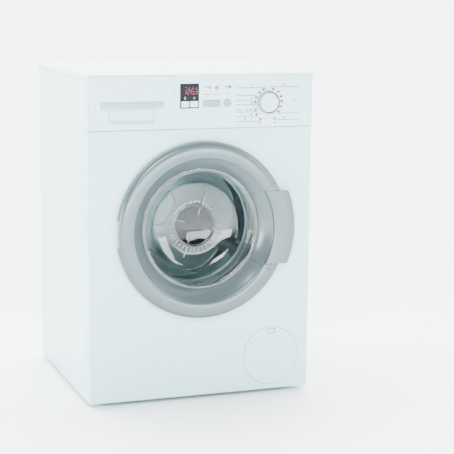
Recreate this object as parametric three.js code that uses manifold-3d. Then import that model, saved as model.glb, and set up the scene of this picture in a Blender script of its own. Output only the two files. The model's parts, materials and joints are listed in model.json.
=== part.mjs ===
// Front load washing machine: cabinet, hinged porthole door, detergent drawer,
// control panel, service flap, and a sprung tub with a turning drum inside.
// Millimetres, +Z up, the door faces -Y, the origin is under the middle of the machine.
import * as THREE from 'three';
import { mergeVertices } from 'three/addons/utils/BufferGeometryUtils.js';
import Module from 'manifold-3d';

const wasm = await Module();
wasm.setup();

// ---------------------------------------------------------------- driving sizes

const WIDTH = 598;
const HEIGHT = 848;
const CABINET_DEPTH = 552;
const HANDLE_PROUD = 28;
const REAR_PROUD = 10;

const GAP = 0.3;          // between pieces that touch in the real machine
const RUN = 1.0;          // between pieces that move past each other
const SHEET = 1.5;        // pressed steel
const MOULDING = 2.5;     // plastic mouldings
const OVERLAP = 0.5;      // how far joined shapes of one piece run into each other

const ROUND_LARGE = 36;   // facets round the door, tub and drum
const ROUND_MEDIUM = 24;
const ROUND_SMALL = 14;
const ROUND_TINY = 10;

const LIFT = 12;          // floor to the underside of the cabinet
const FASCIA_HEIGHT = 138;
const FASCIA_PROUD = 2;
const RETURN_DEPTH = 28;  // depth of the side returns of the front panel and fascia
const AXIS_BELOW_TOP = 397;
const SEAM = 0.8;

const TOP = { thick: 18, setBack: 22 };
const TRAY = { plate: 3, flange: 26, bossRadius: 15, bossTop: 48 };
const WRAP = { lip: 10, openingSide: 96, openingLow: 190, openingHigh: 130, openingRound: 60 };
const COVER = { margin: 12, thick: 1.5, raise: 4, border: 26 };
const SHELF = { reach: 122, width: 70, thick: 3, below: 40 };

const FOOT = { inset: 52, fromFront: 62, fromRear: 50, pad: 22, padHeight: 7, neck: 13, stud: 5, rise: 46 };

const DOOR = {
  radius: 229, backEdge: -3, crease: 187, glassEdge: 157, wall: 2.5,
  face: -25.8, rim: -24.5, creaseFace: -22.8, bezelMid: 172, bezelMidFace: -10, bezelEnd: 6,
  seamAngle: 32, seamSplit: 0.1,
};
const GLASS = {
  flange: 163,
  mouth: 150,
  end: 112,
  shoulder: 120,
  wall: 3.5,
  flangeThick: 4,
  depth: 74,
  dome: 16,
  turn: 8,
};
const BACK_RING = { plate: 2.5, clamp: 154 };
const HANDLE = {
  past: 18, halfHeight: 95.5, back: -15, tip: -20, pinInset: 35, pinY: -9, barrel: 3,
  barrelHalf: 66, postHalf: 4, postThick: 6, inner: 1.8,
};
const HINGE = {
  inset: 8,
  forward: 14,
  pin: 2.5,
  knuckle: 4.5,
  knuckleHalf: 23.5,
  arm: 6,
  plateNear: 5,
  plateFar: 29,
  slotMargin: 6,
  slotOut: 4,
};
const LATCH = { inset: 24, y: -8.5, barrel: 3, half: 8, reach: 17, tip: 8, width: 5, thick: 4 };
const LOCK = { inner: 15, outer: 23, front: 3, back: 30, half: 32, lip: 5, slotHalf: 11 };
const MOUTH = { radius: 184, throat: 171, depth: 22, lip: 4 };

const TUB = {
  sideGap: 34,
  clear: 6,
  wall: 3,
  front: 80,
  split: 280,
  back: 440,
  neck: 164,
  neckFront: 68,
  flange: 5,
  flangeWide: 8,
  rounding: 30,
};
const DRUM = { gap: 23, front: 96, back: 418, wall: 1.5, mouth: 155, lipDepth: 8, rounding: 22 };
const SPIDER = { hub: 34, shaft: 12, shaftEnd: 502, arm: 26, thick: 12, rim: 22 };
const BEARING = { outer: 36, housing: 44, length: 34 };
const PULLEY = { radius: 140, width: 14, rim: 8, web: 4, hub: 26, plane: 488 };
const LIFTER = { count: 3, height: 40, base: 48, crest: 12, front: 14, back: 12 };
const BELT = { thick: 2.5, width: 9 };
const MOTOR = {
  x: 70,
  radius: 48,
  height: 117,
  front: 330,
  back: 470,
  pulley: 12,
  pulleyLip: 2,
  shaft: 5,
  lugHalf: 24,
  lugDepth: 34,
  lugSetBack: 20,
  padMargin: 4,
};
const HEATER = { half: 34, tube: 3.2, reach: 180, plate: 46, plateThick: 5 };
const WEIGHT = { left: -40, right: 185, front: 104, back: 262, below: 44 };
const DAMPER = { x: 176, y: 236, rod: 5, rodEnd: 70, body: 13, top: 160, lug: 14, lugThick: 16 };
const SPRING = { x: 200, y: 330, coil: 9, wire: 1.8, turns: 6, lug: 7, lugRise: 22 };

const DRAWER = {
  left: 2, width: 220, low: 1.5, high: 2, thick: 3.5, travelDepth: 246,
  stripLeft: 30, stripWidth: 164, stripLow: 53.5, stripHigh: 71, stripProud: 1.2,
  bowlInset: 21, bowlLow: 17, bowlHigh: 67, bowlDepth: 14, bowlWall: 1.5, bowlRound: 12,
};
const HOUSING = { left: 9, right: 8, low: 8.5, high: 22, front: 6, back: 262, wall: 2, spout: 11 };
const TRAYBOX = {
  height: 62,
  wall: 1.8,
  divide: [0.36, 0.7],
  coverShare: 0.42,
  coverDrop: 6,
  pipe: 6,
  pipeLong: 37,
};

const DISPLAY = { left: -62, width: 51, low: 52, height: 63, thick: 1.6 };
const BUTTONS = {
  low: 55.5,
  height: 15,
  thick: 3.2,
  proud: 1.6,
  stem: 3,
  leftMargin: 4,
  rightMargin: 3,
  between: 3,
  optionLeft: 1,
  optionWidth: 45,
  optionTaller: 2,
};
const KNOB = { fromRight: 124, z: 64, skirt: 25.6, face: 24.5, proud: 14, stem: 4, chamfer: 2, flare: 3 };
const START = { fromRight: 234, radius: 10, z: 64.5 };
const BOARD = {
  front: 13,
  thick: 1.6,
  left: -66,
  pastKnob: 47,
  low: 26,
  below: 20,
  housing: 5.6,
  screenInset: 3,
  screenLow: 22,
  screenHigh: 58,
  screenDepth: 9,
  boxLeft: 80,
  boxRight: 130,
  boxLow: 34,
  boxHigh: 74,
  boxDepth: 22,
};

const FLAP = {
  fromRight: 105,
  height: 91,
  radius: 77,
  thick: 2.5,
  proud: 1,
  collar: 14,
  notch: 23,
  notchDrop: 14,
  notchShare: 0.6,
};
const PUMP = {
  bore: 24.4,
  barrel: 28,
  front: 12,
  volute: 41,
  voluteFront: 118,
  voluteBack: 150,
  motor: 30,
  back: 206,
  stub: 24,
};
const PLUG = { rim: 30, grip: 7, gripDepth: 16, length: 40, gripShare: 0.8, face: 5, gripFoot: 8 };
const HOSE = { drain: 10, sump: 15, fill: 12, sumpX: 60, stub: 16 };
const VALVE = { fromLeft: 99, below: 48, body: 18, depth: 52, thread: 10, pipe: 7 };
const INLET = { fromRight: 78, below: 90, half: 22, depth: 18, bush: 8 };
const SPIGOT = { fromRight: 40, below: 92, radius: 9 };
const GASKET = { clip: 3, fold: 176, inner: 156, tail: 172 };

// ---------------------------------------------------------------- derived sizes

const HALF = WIDTH / 2;
const FRONT = HANDLE_PROUD - (CABINET_DEPTH + HANDLE_PROUD + REAR_PROUD) / 2;
const PANEL_TOP = HEIGHT - FASCIA_HEIGHT;
const AXIS_Z = HEIGHT - AXIS_BELOW_TOP;
const TUB_RADIUS = Math.min(HALF - TUB.sideGap, roomForTub());
const DRUM_RADIUS = TUB_RADIUS - TUB.wall - DRUM.gap;
const FLAP_X = HALF - FLAP.fromRight;
const FLAP_Z = LIFT + FLAP.height;
const KNOB_X = HALF - KNOB.fromRight;
const PIN_X = HINGE.inset - DOOR.radius;
const HANDLE_REACH = DOOR.radius + HANDLE.past;
const HANDLE_PIN_X = DOOR.radius - HANDLE.pinInset;
const LATCH_X = DOOR.radius - LATCH.inset;

/** Largest tub radius that stays clear of the dispenser above it and the motor below it. */
function roomForTub() {
  const across = HALF - DRAWER.left - DRAWER.width + HOUSING.right;
  const above = PANEL_TOP + DRAWER.low + HOUSING.low - AXIS_Z;
  const toDispenser = Math.hypot(across, above) - TUB.flange;
  const toMotor = Math.hypot(MOTOR.x, AXIS_Z - MOTOR.height) - MOTOR.radius;
  return Math.min(toDispenser, toMotor) - TUB.clear;
}

// ---------------------------------------------------------------- finishes

const WHITE_STEEL = { color: 0xe6eeee, roughness: 0.32, metalness: 0.0 };
const WHITE_PLASTIC = { color: 0xe9f1f1, roughness: 0.42, metalness: 0.0 };
const SILVER_PLASTIC = { color: 0xb4bec0, roughness: 0.38, metalness: 0.25 };
const GREY_PLASTIC = { color: 0x8f979a, roughness: 0.5, metalness: 0.0 };
const DARK_PLASTIC = { color: 0x2a2e30, roughness: 0.45, metalness: 0.0 };
const DISPLAY_GLASS = { color: 0x1b2226, roughness: 0.12, metalness: 0.0 };
const CLEAR_GLASS = { color: 0xcfdcdc, roughness: 0.05, metalness: 0.0, transparent: true, opacity: 0.35 };
const STAINLESS = { color: 0xc3c8ca, roughness: 0.28, metalness: 1.0 };
const ZINC = { color: 0xa9afb2, roughness: 0.45, metalness: 0.9 };
const CAST_METAL = { color: 0x9a9fa1, roughness: 0.5, metalness: 0.85 };
const RUBBER = { color: 0x6e7577, roughness: 0.75, metalness: 0.0 };
const BLACK_RUBBER = { color: 0x17191a, roughness: 0.8, metalness: 0.0 };
const CONCRETE = { color: 0x8c8a84, roughness: 0.95, metalness: 0.0 };
const BOARD_GREEN = { color: 0x1f5a3a, roughness: 0.55, metalness: 0.0 };

// ---------------------------------------------------------------- solid helpers

const WELD_DISTANCE = 1e-4;

/** Six times the volume inside an indexed surface; below zero when it is inside out. */
function signedVolume(points, index) {
  const a = new THREE.Vector3();
  const b = new THREE.Vector3();
  const c = new THREE.Vector3();
  let sum = 0;
  for (let i = 0; i < index.length; i += 3) {
    a.fromArray(points, index[i] * 3);
    b.fromArray(points, index[i + 1] * 3);
    c.fromArray(points, index[i + 2] * 3);
    sum += a.dot(b.cross(c));
  }
  return sum;
}

/** Welds a geometry, drops its empty triangles and turns it into a solid. */
function solid(geometry) {
  const bare = geometry.clone();
  bare.deleteAttribute('normal');
  bare.deleteAttribute('uv');
  const welded = mergeVertices(bare, WELD_DISTANCE);
  const corners = welded.index.array;
  const kept = [];
  for (let i = 0; i < corners.length; i += 3) {
    const [a, b, c] = [corners[i], corners[i + 1], corners[i + 2]];
    if (a !== b && b !== c && c !== a) {
      kept.push(a, b, c);
    }
  }
  const points = welded.attributes.position.array;
  if (signedVolume(points, kept) < 0) {
    kept.reverse();
  }
  const data = { numProp: 3, vertProperties: Float32Array.from(points), triVerts: Uint32Array.from(kept) };
  return new wasm.Manifold(new wasm.Mesh(data));
}

/** Makes the named mesh of a finished solid. */
function piece(name, body, finish) {
  const data = body.getMesh();
  const geometry = new THREE.BufferGeometry();
  geometry.setAttribute('position', new THREE.BufferAttribute(Float32Array.from(data.vertProperties), 3));
  geometry.setIndex(new THREE.BufferAttribute(Uint32Array.from(data.triVerts), 1));
  geometry.computeVertexNormals();
  const mesh = new THREE.Mesh(geometry, new THREE.MeshStandardMaterial(finish));
  mesh.name = name;
  return mesh;
}

/** A box between two corners. */
function box(x0, x1, y0, y1, z0, z1) {
  const geometry = new THREE.BoxGeometry(x1 - x0, y1 - y0, z1 - z0);
  geometry.translate((x0 + x1) / 2, (y0 + y1) / 2, (z0 + z1) / 2);
  return solid(geometry);
}

function outline(points) {
  return new THREE.Shape(points.map(([a, b]) => new THREE.Vector2(a, b)));
}

/** A regular outline whose corners line up with those of a lathe of the same facets. */
function circlePoints(radius, facets, x = 0, z = 0) {
  const points = [];
  for (let i = 0; i < facets; i += 1) {
    const angle = (2 * Math.PI * i) / facets;
    points.push([x + radius * Math.sin(angle), z + radius * Math.cos(angle)]);
  }
  return points;
}

/** A rectangle with rounded corners. */
function roundedPoints(x0, x1, z0, z1, radius, steps = 4) {
  const corners = [
    [x1 - radius, z0 + radius, -90],
    [x1 - radius, z1 - radius, 0],
    [x0 + radius, z1 - radius, 90],
    [x0 + radius, z0 + radius, 180],
  ];
  const points = [];
  for (const [x, z, start] of corners) {
    for (let i = 0; i <= steps; i += 1) {
      const angle = THREE.MathUtils.degToRad(start + (90 * i) / steps);
      points.push([x + radius * Math.cos(angle), z + radius * Math.sin(angle)]);
    }
  }
  return points;
}

function extruded(points, depth) {
  return new THREE.ExtrudeGeometry(outline(points), { depth, bevelEnabled: false, steps: 1 });
}

/** An outline in x and z, carried through from y0 to y1. */
function frontBlock(points, y0, y1) {
  const geometry = extruded(points, y1 - y0);
  geometry.rotateX(Math.PI / 2);
  geometry.translate(0, y1, 0);
  return solid(geometry);
}

/** An outline in x and y, carried through from z0 to z1. */
function planBlock(points, z0, z1) {
  const geometry = extruded(points, z1 - z0);
  geometry.translate(0, 0, z0);
  return solid(geometry);
}

/** A profile of radius and y, turned about the y axis. */
function turned(profile, facets) {
  const points = profile.map(([radius, y]) => new THREE.Vector2(radius, y));
  return solid(new THREE.LatheGeometry(points, facets));
}

/** A closed ring profile of radius and y, turned about the y axis. */
function ring(profile, facets) {
  return turned([...profile, profile[0]], facets);
}

/** A profile of radius and z, turned about a vertical axis at x, y. */
function turnedUpright(profile, facets, x, y) {
  const points = profile.map(([radius, z]) => new THREE.Vector2(radius, z));
  const geometry = new THREE.LatheGeometry(points, facets);
  geometry.rotateX(Math.PI / 2);
  geometry.translate(x, y, 0);
  return solid(geometry);
}

/** A straight round bar along y. */
function barAlongY(radius, y0, y1, facets, x = 0, z = 0) {
  return frontBlock(circlePoints(radius, facets, x, z), y0, y1);
}

/** A straight round bar along z. */
function barAlongZ(radius, z0, z1, facets, x, y) {
  return planBlock(circlePoints(radius, facets, x, y), z0, z1);
}

/** A round bar that follows a smooth line through points. */
function bentBar(radius, facets, steps, points) {
  const places = points.map(([x, y, z]) => new THREE.Vector3(x, y, z));
  const line = new THREE.CatmullRomCurve3(places, false, 'centripetal');
  const options = { steps, bevelEnabled: false, extrudePath: line };
  return solid(new THREE.ExtrudeGeometry(outline(circlePoints(radius, facets)), options));
}

/** The slice of space within an angle either side of +x, seen from the front. */
function wedge(degrees, reach, y0, y1) {
  const angle = THREE.MathUtils.degToRad(degrees);
  const x = reach * Math.cos(angle);
  const z = reach * Math.sin(angle);
  return frontBlock([[0, 0], [x, -z], [x, z]], y0, y1);
}

/** Where a circle of this radius stands at a distance to the side of its centre. */
function chordHeight(radius, side) {
  return Math.sqrt(radius * radius - side * side);
}

// ---------------------------------------------------------------- cabinet

function baseTray() {
  const side = HALF - SHEET - GAP;
  const front = RETURN_DEPTH + SEAM + SHEET + GAP;
  const back = CABINET_DEPTH - SHEET - GAP;
  const plateTop = LIFT + TRAY.plate;
  const shell = box(-side, side, front, back, LIFT, LIFT + TRAY.flange);
  const inside = side - TRAY.plate;
  const hollow = box(-inside, inside, front + TRAY.plate, back - TRAY.plate, plateTop, HEIGHT);
  let body = shell.subtract(hollow);
  for (const [x, y] of footPlaces()) {
    body = body.add(barAlongZ(TRAY.bossRadius, LIFT, TRAY.bossTop, ROUND_SMALL, x, y));
  }
  for (const [x, y] of footPlaces()) {
    body = body.subtract(barAlongZ(FOOT.stud + GAP, 0, HEIGHT, ROUND_TINY, x, y));
  }
  return piece('base_tray', body, ZINC);
}

function footPlaces() {
  const x = HALF - FOOT.inset;
  const places = [];
  for (const y of [FOOT.fromFront, CABINET_DEPTH - FOOT.fromRear]) {
    for (const side of [-x, x]) {
      places.push([side, y]);
    }
  }
  return places;
}

function foot(name) {
  const profile = [
    [0, 0],
    [FOOT.pad, 0],
    [FOOT.pad, FOOT.padHeight],
    [FOOT.neck, FOOT.padHeight + GAP],
    [FOOT.neck, LIFT - GAP],
    [FOOT.stud, LIFT - GAP],
    [FOOT.stud, FOOT.rise],
    [0, FOOT.rise],
  ];
  return piece(name, turnedUpright(profile, ROUND_TINY, 0, 0), DARK_PLASTIC);
}

function cabinetWrap() {
  const front = RETURN_DEPTH + SEAM;
  const inner = HALF - SHEET;
  const lip = HALF - WRAP.lip;
  const plan = [
    [-HALF, front], [-lip, front], [-lip, front + SHEET], [-inner, front + SHEET],
    [-inner, CABINET_DEPTH - SHEET], [inner, CABINET_DEPTH - SHEET], [inner, front + SHEET],
    [lip, front + SHEET], [lip, front], [HALF, front], [HALF, CABINET_DEPTH], [-HALF, CABINET_DEPTH],
  ];
  let body = planBlock(plan, LIFT, HEIGHT - TOP.thick - GAP);
  const past = CABINET_DEPTH - SHEET - OVERLAP;
  const beyond = CABINET_DEPTH + OVERLAP;
  body = body.subtract(frontBlock(rearOpening(0), past, beyond));
  body = body.subtract(barAlongY(VALVE.body / 2 + RUN, past, beyond, ROUND_SMALL, valveX(), valveZ()));
  body = body.subtract(barAlongY(SPIGOT.radius + RUN, past, beyond, ROUND_SMALL, spigotX(), spigotZ()));
  body = body.subtract(barAlongY(INLET.bush + RUN, past, beyond, ROUND_SMALL, powerX(), powerZ()));
  const shelfTop = HEIGHT - TOP.thick - SHELF.below;
  for (const side of [-1, 1]) {
    const ends = [side * (HALF - SHELF.reach), side * (inner + OVERLAP)];
    const y = SPRING.y;
    let shelf = box(Math.min(...ends), Math.max(...ends), y - SHELF.width / 2, y + SHELF.width / 2,
      shelfTop - SHELF.thick, shelfTop);
    shelf = shelf.subtract(barAlongZ(SPRING.wire * 2, 0, HEIGHT, ROUND_TINY, side * springX(), y));
    body = body.add(shelf);
  }
  return piece('cabinet_wrap', body, WHITE_STEEL);
}

function rearOpening(margin) {
  const side = HALF - WRAP.openingSide + margin;
  const low = WRAP.openingLow - margin;
  const high = HEIGHT - WRAP.openingHigh + margin;
  return roundedPoints(-side, side, low, high, WRAP.openingRound + margin);
}

function valveX() {
  return VALVE.fromLeft - HALF;
}

function valveZ() {
  return HEIGHT - VALVE.below;
}

function spigotX() {
  return HALF - SPIGOT.fromRight;
}

function spigotZ() {
  return HEIGHT - SPIGOT.below;
}

function powerX() {
  return HALF - INLET.fromRight - INLET.half;
}

function powerZ() {
  return HEIGHT - INLET.below;
}

function rearCover() {
  const near = CABINET_DEPTH + GAP;
  const plate = frontBlock(rearOpening(COVER.margin), near, near + COVER.thick);
  const raised = frontBlock(rearOpening(-COVER.border), near, near + COVER.raise);
  const inner = rearOpening(-COVER.border - COVER.thick);
  const hollow = frontBlock(inner, near - OVERLAP, near + COVER.raise - COVER.thick);
  return piece('rear_cover', plate.add(raised).subtract(hollow), ZINC);
}

function topCover() {
  const high = HEIGHT;
  const low = HEIGHT - TOP.thick;
  const front = TOP.setBack;
  const board = box(-HALF, HALF, front, CABINET_DEPTH, low, high);
  return piece('top_cover', board, WHITE_PLASTIC);
}

function frontPanel() {
  const low = LIFT;
  const high = PANEL_TOP - SEAM / 2;
  const side = HALF - SEAM;
  const outer = box(-side, side, 0, RETURN_DEPTH, low, high);
  const hollow = box(-side + SHEET, side - SHEET, SHEET, RETURN_DEPTH + OVERLAP, low + SHEET, high - SHEET);
  let body = outer.subtract(hollow);
  const mouth = MOUTH.radius;
  body = body.subtract(barAlongY(mouth + OVERLAP, -OVERLAP, SHEET + OVERLAP, ROUND_LARGE, 0, AXIS_Z));
  const dish = ring([
    [mouth, 0],
    [MOUTH.throat, MOUTH.depth],
    [MOUTH.throat, MOUTH.depth + MOUTH.lip],
    [MOUTH.throat + SHEET, MOUTH.depth + MOUTH.lip],
    [MOUTH.throat + SHEET, MOUTH.depth + OVERLAP],
    [mouth + SHEET, SHEET],
    [mouth + SHEET + OVERLAP, SHEET],
    [mouth + SHEET + OVERLAP, 0],
  ], ROUND_LARGE);
  body = body.add(dish.translate([0, 0, AXIS_Z]));
  const slot = box(LATCH_X - LOCK.slotHalf + 2 * RUN, LATCH_X + LOCK.slotHalf - RUN,
    -OVERLAP, SHEET + OVERLAP, AXIS_Z - LATCH.half - RUN, AXIS_Z + LATCH.half + RUN);
  body = body.subtract(slot);
  const hole = FLAP.radius + SEAM + GAP;
  body = body.add(barAlongY(hole + SHEET, OVERLAP, FLAP.collar, ROUND_LARGE, FLAP_X, FLAP_Z));
  body = body.subtract(barAlongY(hole, -OVERLAP, FLAP.collar + OVERLAP, ROUND_LARGE, FLAP_X, FLAP_Z));
  return piece('front_panel', body, WHITE_STEEL);
}

function doorLock() {
  const x0 = LATCH_X - LOCK.inner;
  const x1 = LATCH_X + LOCK.outer;
  const body = box(x0, x1, LOCK.front, LOCK.back, AXIS_Z - LOCK.half, AXIS_Z + LOCK.half);
  const low = AXIS_Z - LATCH.half - RUN;
  const high = AXIS_Z + LATCH.half + RUN;
  const right = LATCH_X + LOCK.slotHalf;
  const lip = LOCK.front + LOCK.lip;
  const mouth = box(LATCH_X - LATCH.width, right, LOCK.front - OVERLAP, lip, low, high);
  const pocket = box(x0 + MOULDING, right, lip - OVERLAP, LOCK.back - MOULDING, low, high);
  return piece('door_lock', body.subtract(mouth).subtract(pocket), DARK_PLASTIC);
}

function hingePlate() {
  const x = PIN_X;
  const y = -HINGE.forward;
  const near = x + HINGE.plateNear;
  const far = x + HINGE.plateFar;
  const half = HINGE.knuckleHalf + HINGE.arm + 3 * RUN;
  let body = box(near, far, -GAP - SHEET, -GAP, -half, half);
  const arm = [
    [x - HINGE.knuckle, y + RUN],
    [x - HINGE.knuckle * 0.7, y - HINGE.knuckle * 0.75],
    [x + RUN, y - HINGE.knuckle],
    [x + HINGE.knuckle, y - HINGE.knuckle * 0.55],
    [far - HINGE.arm * 2, -GAP - OVERLAP],
    [near + RUN, -GAP - OVERLAP],
  ];
  for (const side of [-1, 1]) {
    const z0 = side * (HINGE.knuckleHalf + RUN);
    const z1 = side * (HINGE.knuckleHalf + RUN + HINGE.arm);
    body = body.add(planBlock(arm, Math.min(z0, z1), Math.max(z0, z1)));
  }
  body = body.subtract(barAlongZ(HINGE.pin + GAP, -half * 2, half * 2, ROUND_SMALL, x, y));
  return piece('hinge_plate', body, ZINC);
}

function hingePin() {
  const half = HINGE.knuckleHalf + HINGE.arm + RUN;
  return piece('hinge_pin', barAlongZ(HINGE.pin, -half, half, ROUND_SMALL, PIN_X, -HINGE.forward), STAINLESS);
}

// ---------------------------------------------------------------- control panel

function drawerSpan() {
  const x0 = -HALF + DRAWER.left;
  return [x0, x0 + DRAWER.width, PANEL_TOP + DRAWER.low, HEIGHT - DRAWER.high];
}

/** Name and outline of the two buttons that stand in the display window. */
function displayButtonPlaces() {
  const low = PANEL_TOP + BUTTONS.low;
  const high = low + BUTTONS.height;
  const first = DISPLAY.left + BUTTONS.leftMargin;
  const wide = (DISPLAY.width - BUTTONS.leftMargin - BUTTONS.between - BUTTONS.rightMargin) / 2;
  return [
    ['display_button_left', first, first + wide, low, high],
    ['display_button_right', first + wide + BUTTONS.between, first + wide * 2 + BUTTONS.between, low, high],
  ];
}

/** Name and outline of the wide button on the fascia. */
function optionButtonPlace() {
  const low = PANEL_TOP + BUTTONS.low;
  const high = low + BUTTONS.height + BUTTONS.optionTaller;
  return ['option_button', BUTTONS.optionLeft, BUTTONS.optionLeft + BUTTONS.optionWidth, low, high];
}

function controlFascia() {
  const low = PANEL_TOP + SEAM / 2;
  const face = -FASCIA_PROUD;
  const outer = box(-HALF, HALF, face, RETURN_DEPTH, low, HEIGHT - TOP.thick - GAP);
  const crown = box(-HALF, HALF, face, TOP.setBack - GAP, low, HEIGHT);
  let body = outer.add(crown);
  body = body.subtract(box(-HALF + MOULDING, HALF - MOULDING, face + MOULDING, RETURN_DEPTH + OVERLAP,
    low - OVERLAP, HEIGHT - MOULDING));
  const [x0, x1, z0, z1] = drawerSpan();
  body = body.subtract(box(x0, x1, face - OVERLAP, RETURN_DEPTH, z0, z1));
  const screen = displayBox(GAP);
  body = body.subtract(box(screen[0], screen[1], face - OVERLAP, RETURN_DEPTH, screen[2], screen[3]));
  body = body.subtract(buttonHole(optionButtonPlace()));
  const front = face - OVERLAP;
  body = body.subtract(barAlongY(START.radius + GAP, front, RETURN_DEPTH, ROUND_SMALL, startX(), startZ()));
  body = body.subtract(barAlongY(KNOB.stem + RUN, front, RETURN_DEPTH, ROUND_SMALL, KNOB_X, knobZ()));
  return piece('control_fascia', body, WHITE_PLASTIC);
}

/** The space a button needs to pass through the panel. */
function buttonHole([, x0, x1, z0, z1]) {
  return box(x0 - GAP, x1 + GAP, -FASCIA_PROUD - OVERLAP, RETURN_DEPTH, z0 - GAP, z1 + GAP);
}

function displayBox(margin) {
  const low = PANEL_TOP + DISPLAY.low;
  const right = DISPLAY.left + DISPLAY.width;
  return [DISPLAY.left - margin, right + margin, low - margin, low + DISPLAY.height + margin];
}

function displayWindow() {
  const [x0, x1, z0, z1] = displayBox(0);
  const face = -FASCIA_PROUD;
  let body = box(x0, x1, face, face + DISPLAY.thick, z0, z1);
  for (const place of displayButtonPlaces()) {
    body = body.subtract(buttonHole(place));
  }
  return piece('display_window', body, DISPLAY_GLASS);
}

function pushButton(name, x0, x1, z0, z1) {
  const face = -FASCIA_PROUD - BUTTONS.proud;
  const x = (x0 + x1) / 2;
  const z = (z0 + z1) / 2;
  const cap = box(x0, x1, face, face + BUTTONS.thick, z0, z1);
  const stem = box(x - BUTTONS.stem, x + BUTTONS.stem, face + OVERLAP, BOARD.front - BOARD.housing,
    z - BUTTONS.stem, z + BUTTONS.stem);
  return piece(name, cap.add(stem), WHITE_PLASTIC);
}

function startX() {
  return HALF - START.fromRight;
}

function startZ() {
  return PANEL_TOP + START.z;
}

function startButton() {
  const face = -FASCIA_PROUD - BUTTONS.proud;
  const cap = barAlongY(START.radius, face, face + BUTTONS.thick, ROUND_SMALL, startX(), startZ());
  const end = BOARD.front - BOARD.housing;
  const stem = barAlongY(BUTTONS.stem, face + OVERLAP, end, ROUND_TINY, startX(), startZ());
  return piece('start_button', cap.add(stem), WHITE_PLASTIC);
}

function knobZ() {
  return PANEL_TOP + KNOB.z;
}

function programKnob() {
  const back = -FASCIA_PROUD - GAP;
  const front = -FASCIA_PROUD - KNOB.proud;
  const body = turned([
    [0, front],
    [KNOB.face - KNOB.chamfer, front],
    [KNOB.face, front + KNOB.chamfer],
    [(KNOB.face + KNOB.skirt) / 2, back - KNOB.flare],
    [KNOB.skirt, back - KNOB.chamfer],
    [KNOB.skirt, back],
    [KNOB.stem, back],
    [KNOB.stem, BOARD.front - GAP],
    [0, BOARD.front - GAP],
  ], ROUND_MEDIUM);
  return piece('program_knob', body, WHITE_PLASTIC);
}

function controlBoard() {
  const low = PANEL_TOP + BOARD.low;
  const high = HEIGHT - BOARD.below;
  const front = BOARD.front;
  let body = box(BOARD.left, KNOB_X + BOARD.pastKnob, front, front + BOARD.thick, low, high);
  const middle = front + BOARD.thick / 2;
  const screenLow = PANEL_TOP + DISPLAY.low + BOARD.screenLow;
  const screenHigh = PANEL_TOP + DISPLAY.low + BOARD.screenHigh;
  const screenLeft = DISPLAY.left + BOARD.screenInset;
  const screenRight = DISPLAY.left + DISPLAY.width - BOARD.screenInset;
  body = body.add(box(screenLeft, screenRight, middle - BOARD.screenDepth, middle, screenLow, screenHigh));
  const boxLow = PANEL_TOP + BOARD.boxLow;
  const boxHigh = PANEL_TOP + BOARD.boxHigh;
  body = body.add(box(BOARD.boxLeft, BOARD.boxRight, middle, middle + BOARD.boxDepth, boxLow, boxHigh));
  return piece('control_board', body, BOARD_GREEN);
}

// ---------------------------------------------------------------- detergent drawer

function dispenserHousing() {
  const [x0, x1, z0] = drawerSpan();
  const left = x0 + HOUSING.left;
  const right = x1 - HOUSING.right;
  const low = z0 + HOUSING.low;
  const high = HEIGHT - HOUSING.high;
  const outer = box(left, right, HOUSING.front, HOUSING.back, low, high);
  const wall = HOUSING.wall;
  const mouth = HOUSING.front - OVERLAP;
  const hollow = box(left + wall, right - wall, mouth, HOUSING.back - wall, low + wall, high - wall);
  let body = outer.subtract(hollow);
  const spoutX = (left + right) / 2;
  const spoutZ = low + HOUSING.spout + HOUSING.wall;
  body = body.add(barAlongY(HOUSING.spout, HOUSING.back - OVERLAP, HOUSING.back + HOUSING.spout, ROUND_SMALL,
    spoutX, spoutZ));
  return piece('dispenser_housing', body, WHITE_PLASTIC);
}

function drawerFront() {
  const [x0, x1, z0, z1] = drawerSpan();
  const face = -FASCIA_PROUD;
  let body = box(x0 + GAP, x1 - GAP, face, face + DRAWER.thick, z0 + GAP, z1 - GAP);
  const base = PANEL_TOP;
  const left = x0 + DRAWER.stripLeft;
  const right = left + DRAWER.stripWidth;
  const bowl = (grow, y0, y1) => frontBlock(
    roundedPoints(left + DRAWER.bowlInset - grow, right - DRAWER.bowlInset + grow,
      base + DRAWER.bowlLow - grow, base + DRAWER.bowlHigh + grow, DRAWER.bowlRound), y0, y1);
  body = body.add(bowl(DRAWER.bowlWall, face + OVERLAP, face + DRAWER.bowlDepth + DRAWER.bowlWall));
  body = body.subtract(bowl(0, face - OVERLAP, face + DRAWER.bowlDepth));
  const strip = box(left, right, face - DRAWER.stripProud, face + DRAWER.thick - OVERLAP,
    base + DRAWER.stripLow, base + DRAWER.stripHigh);
  return piece('drawer_front', body.add(strip), WHITE_PLASTIC);
}

function trayBox() {
  const [x0, x1, z0] = drawerSpan();
  const left = x0 + HOUSING.left + HOUSING.wall + RUN;
  const right = x1 - HOUSING.right - HOUSING.wall - RUN;
  const low = z0 + HOUSING.low + HOUSING.wall + RUN;
  const front = DRAWER.bowlDepth + DRAWER.bowlWall - FASCIA_PROUD + GAP;
  return [left, right, front, DRAWER.travelDepth, low, low + TRAYBOX.height];
}

function drawerTray() {
  const [x0, x1, y0, y1, z0, z1] = trayBox();
  const wall = TRAYBOX.wall;
  let body = box(x0, x1, y0, y1, z0, z1);
  const stops = [0, ...TRAYBOX.divide, 1];
  for (let i = 0; i + 1 < stops.length; i += 1) {
    const left = x0 + (x1 - x0) * stops[i] + (i === 0 ? wall : wall / 2);
    const right = x0 + (x1 - x0) * stops[i + 1] - (i + 2 === stops.length ? wall : wall / 2);
    body = body.subtract(box(left, right, y0 + wall, y1 - wall, z0 + wall, HEIGHT));
  }
  return piece('drawer_tray', body, WHITE_PLASTIC);
}

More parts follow.
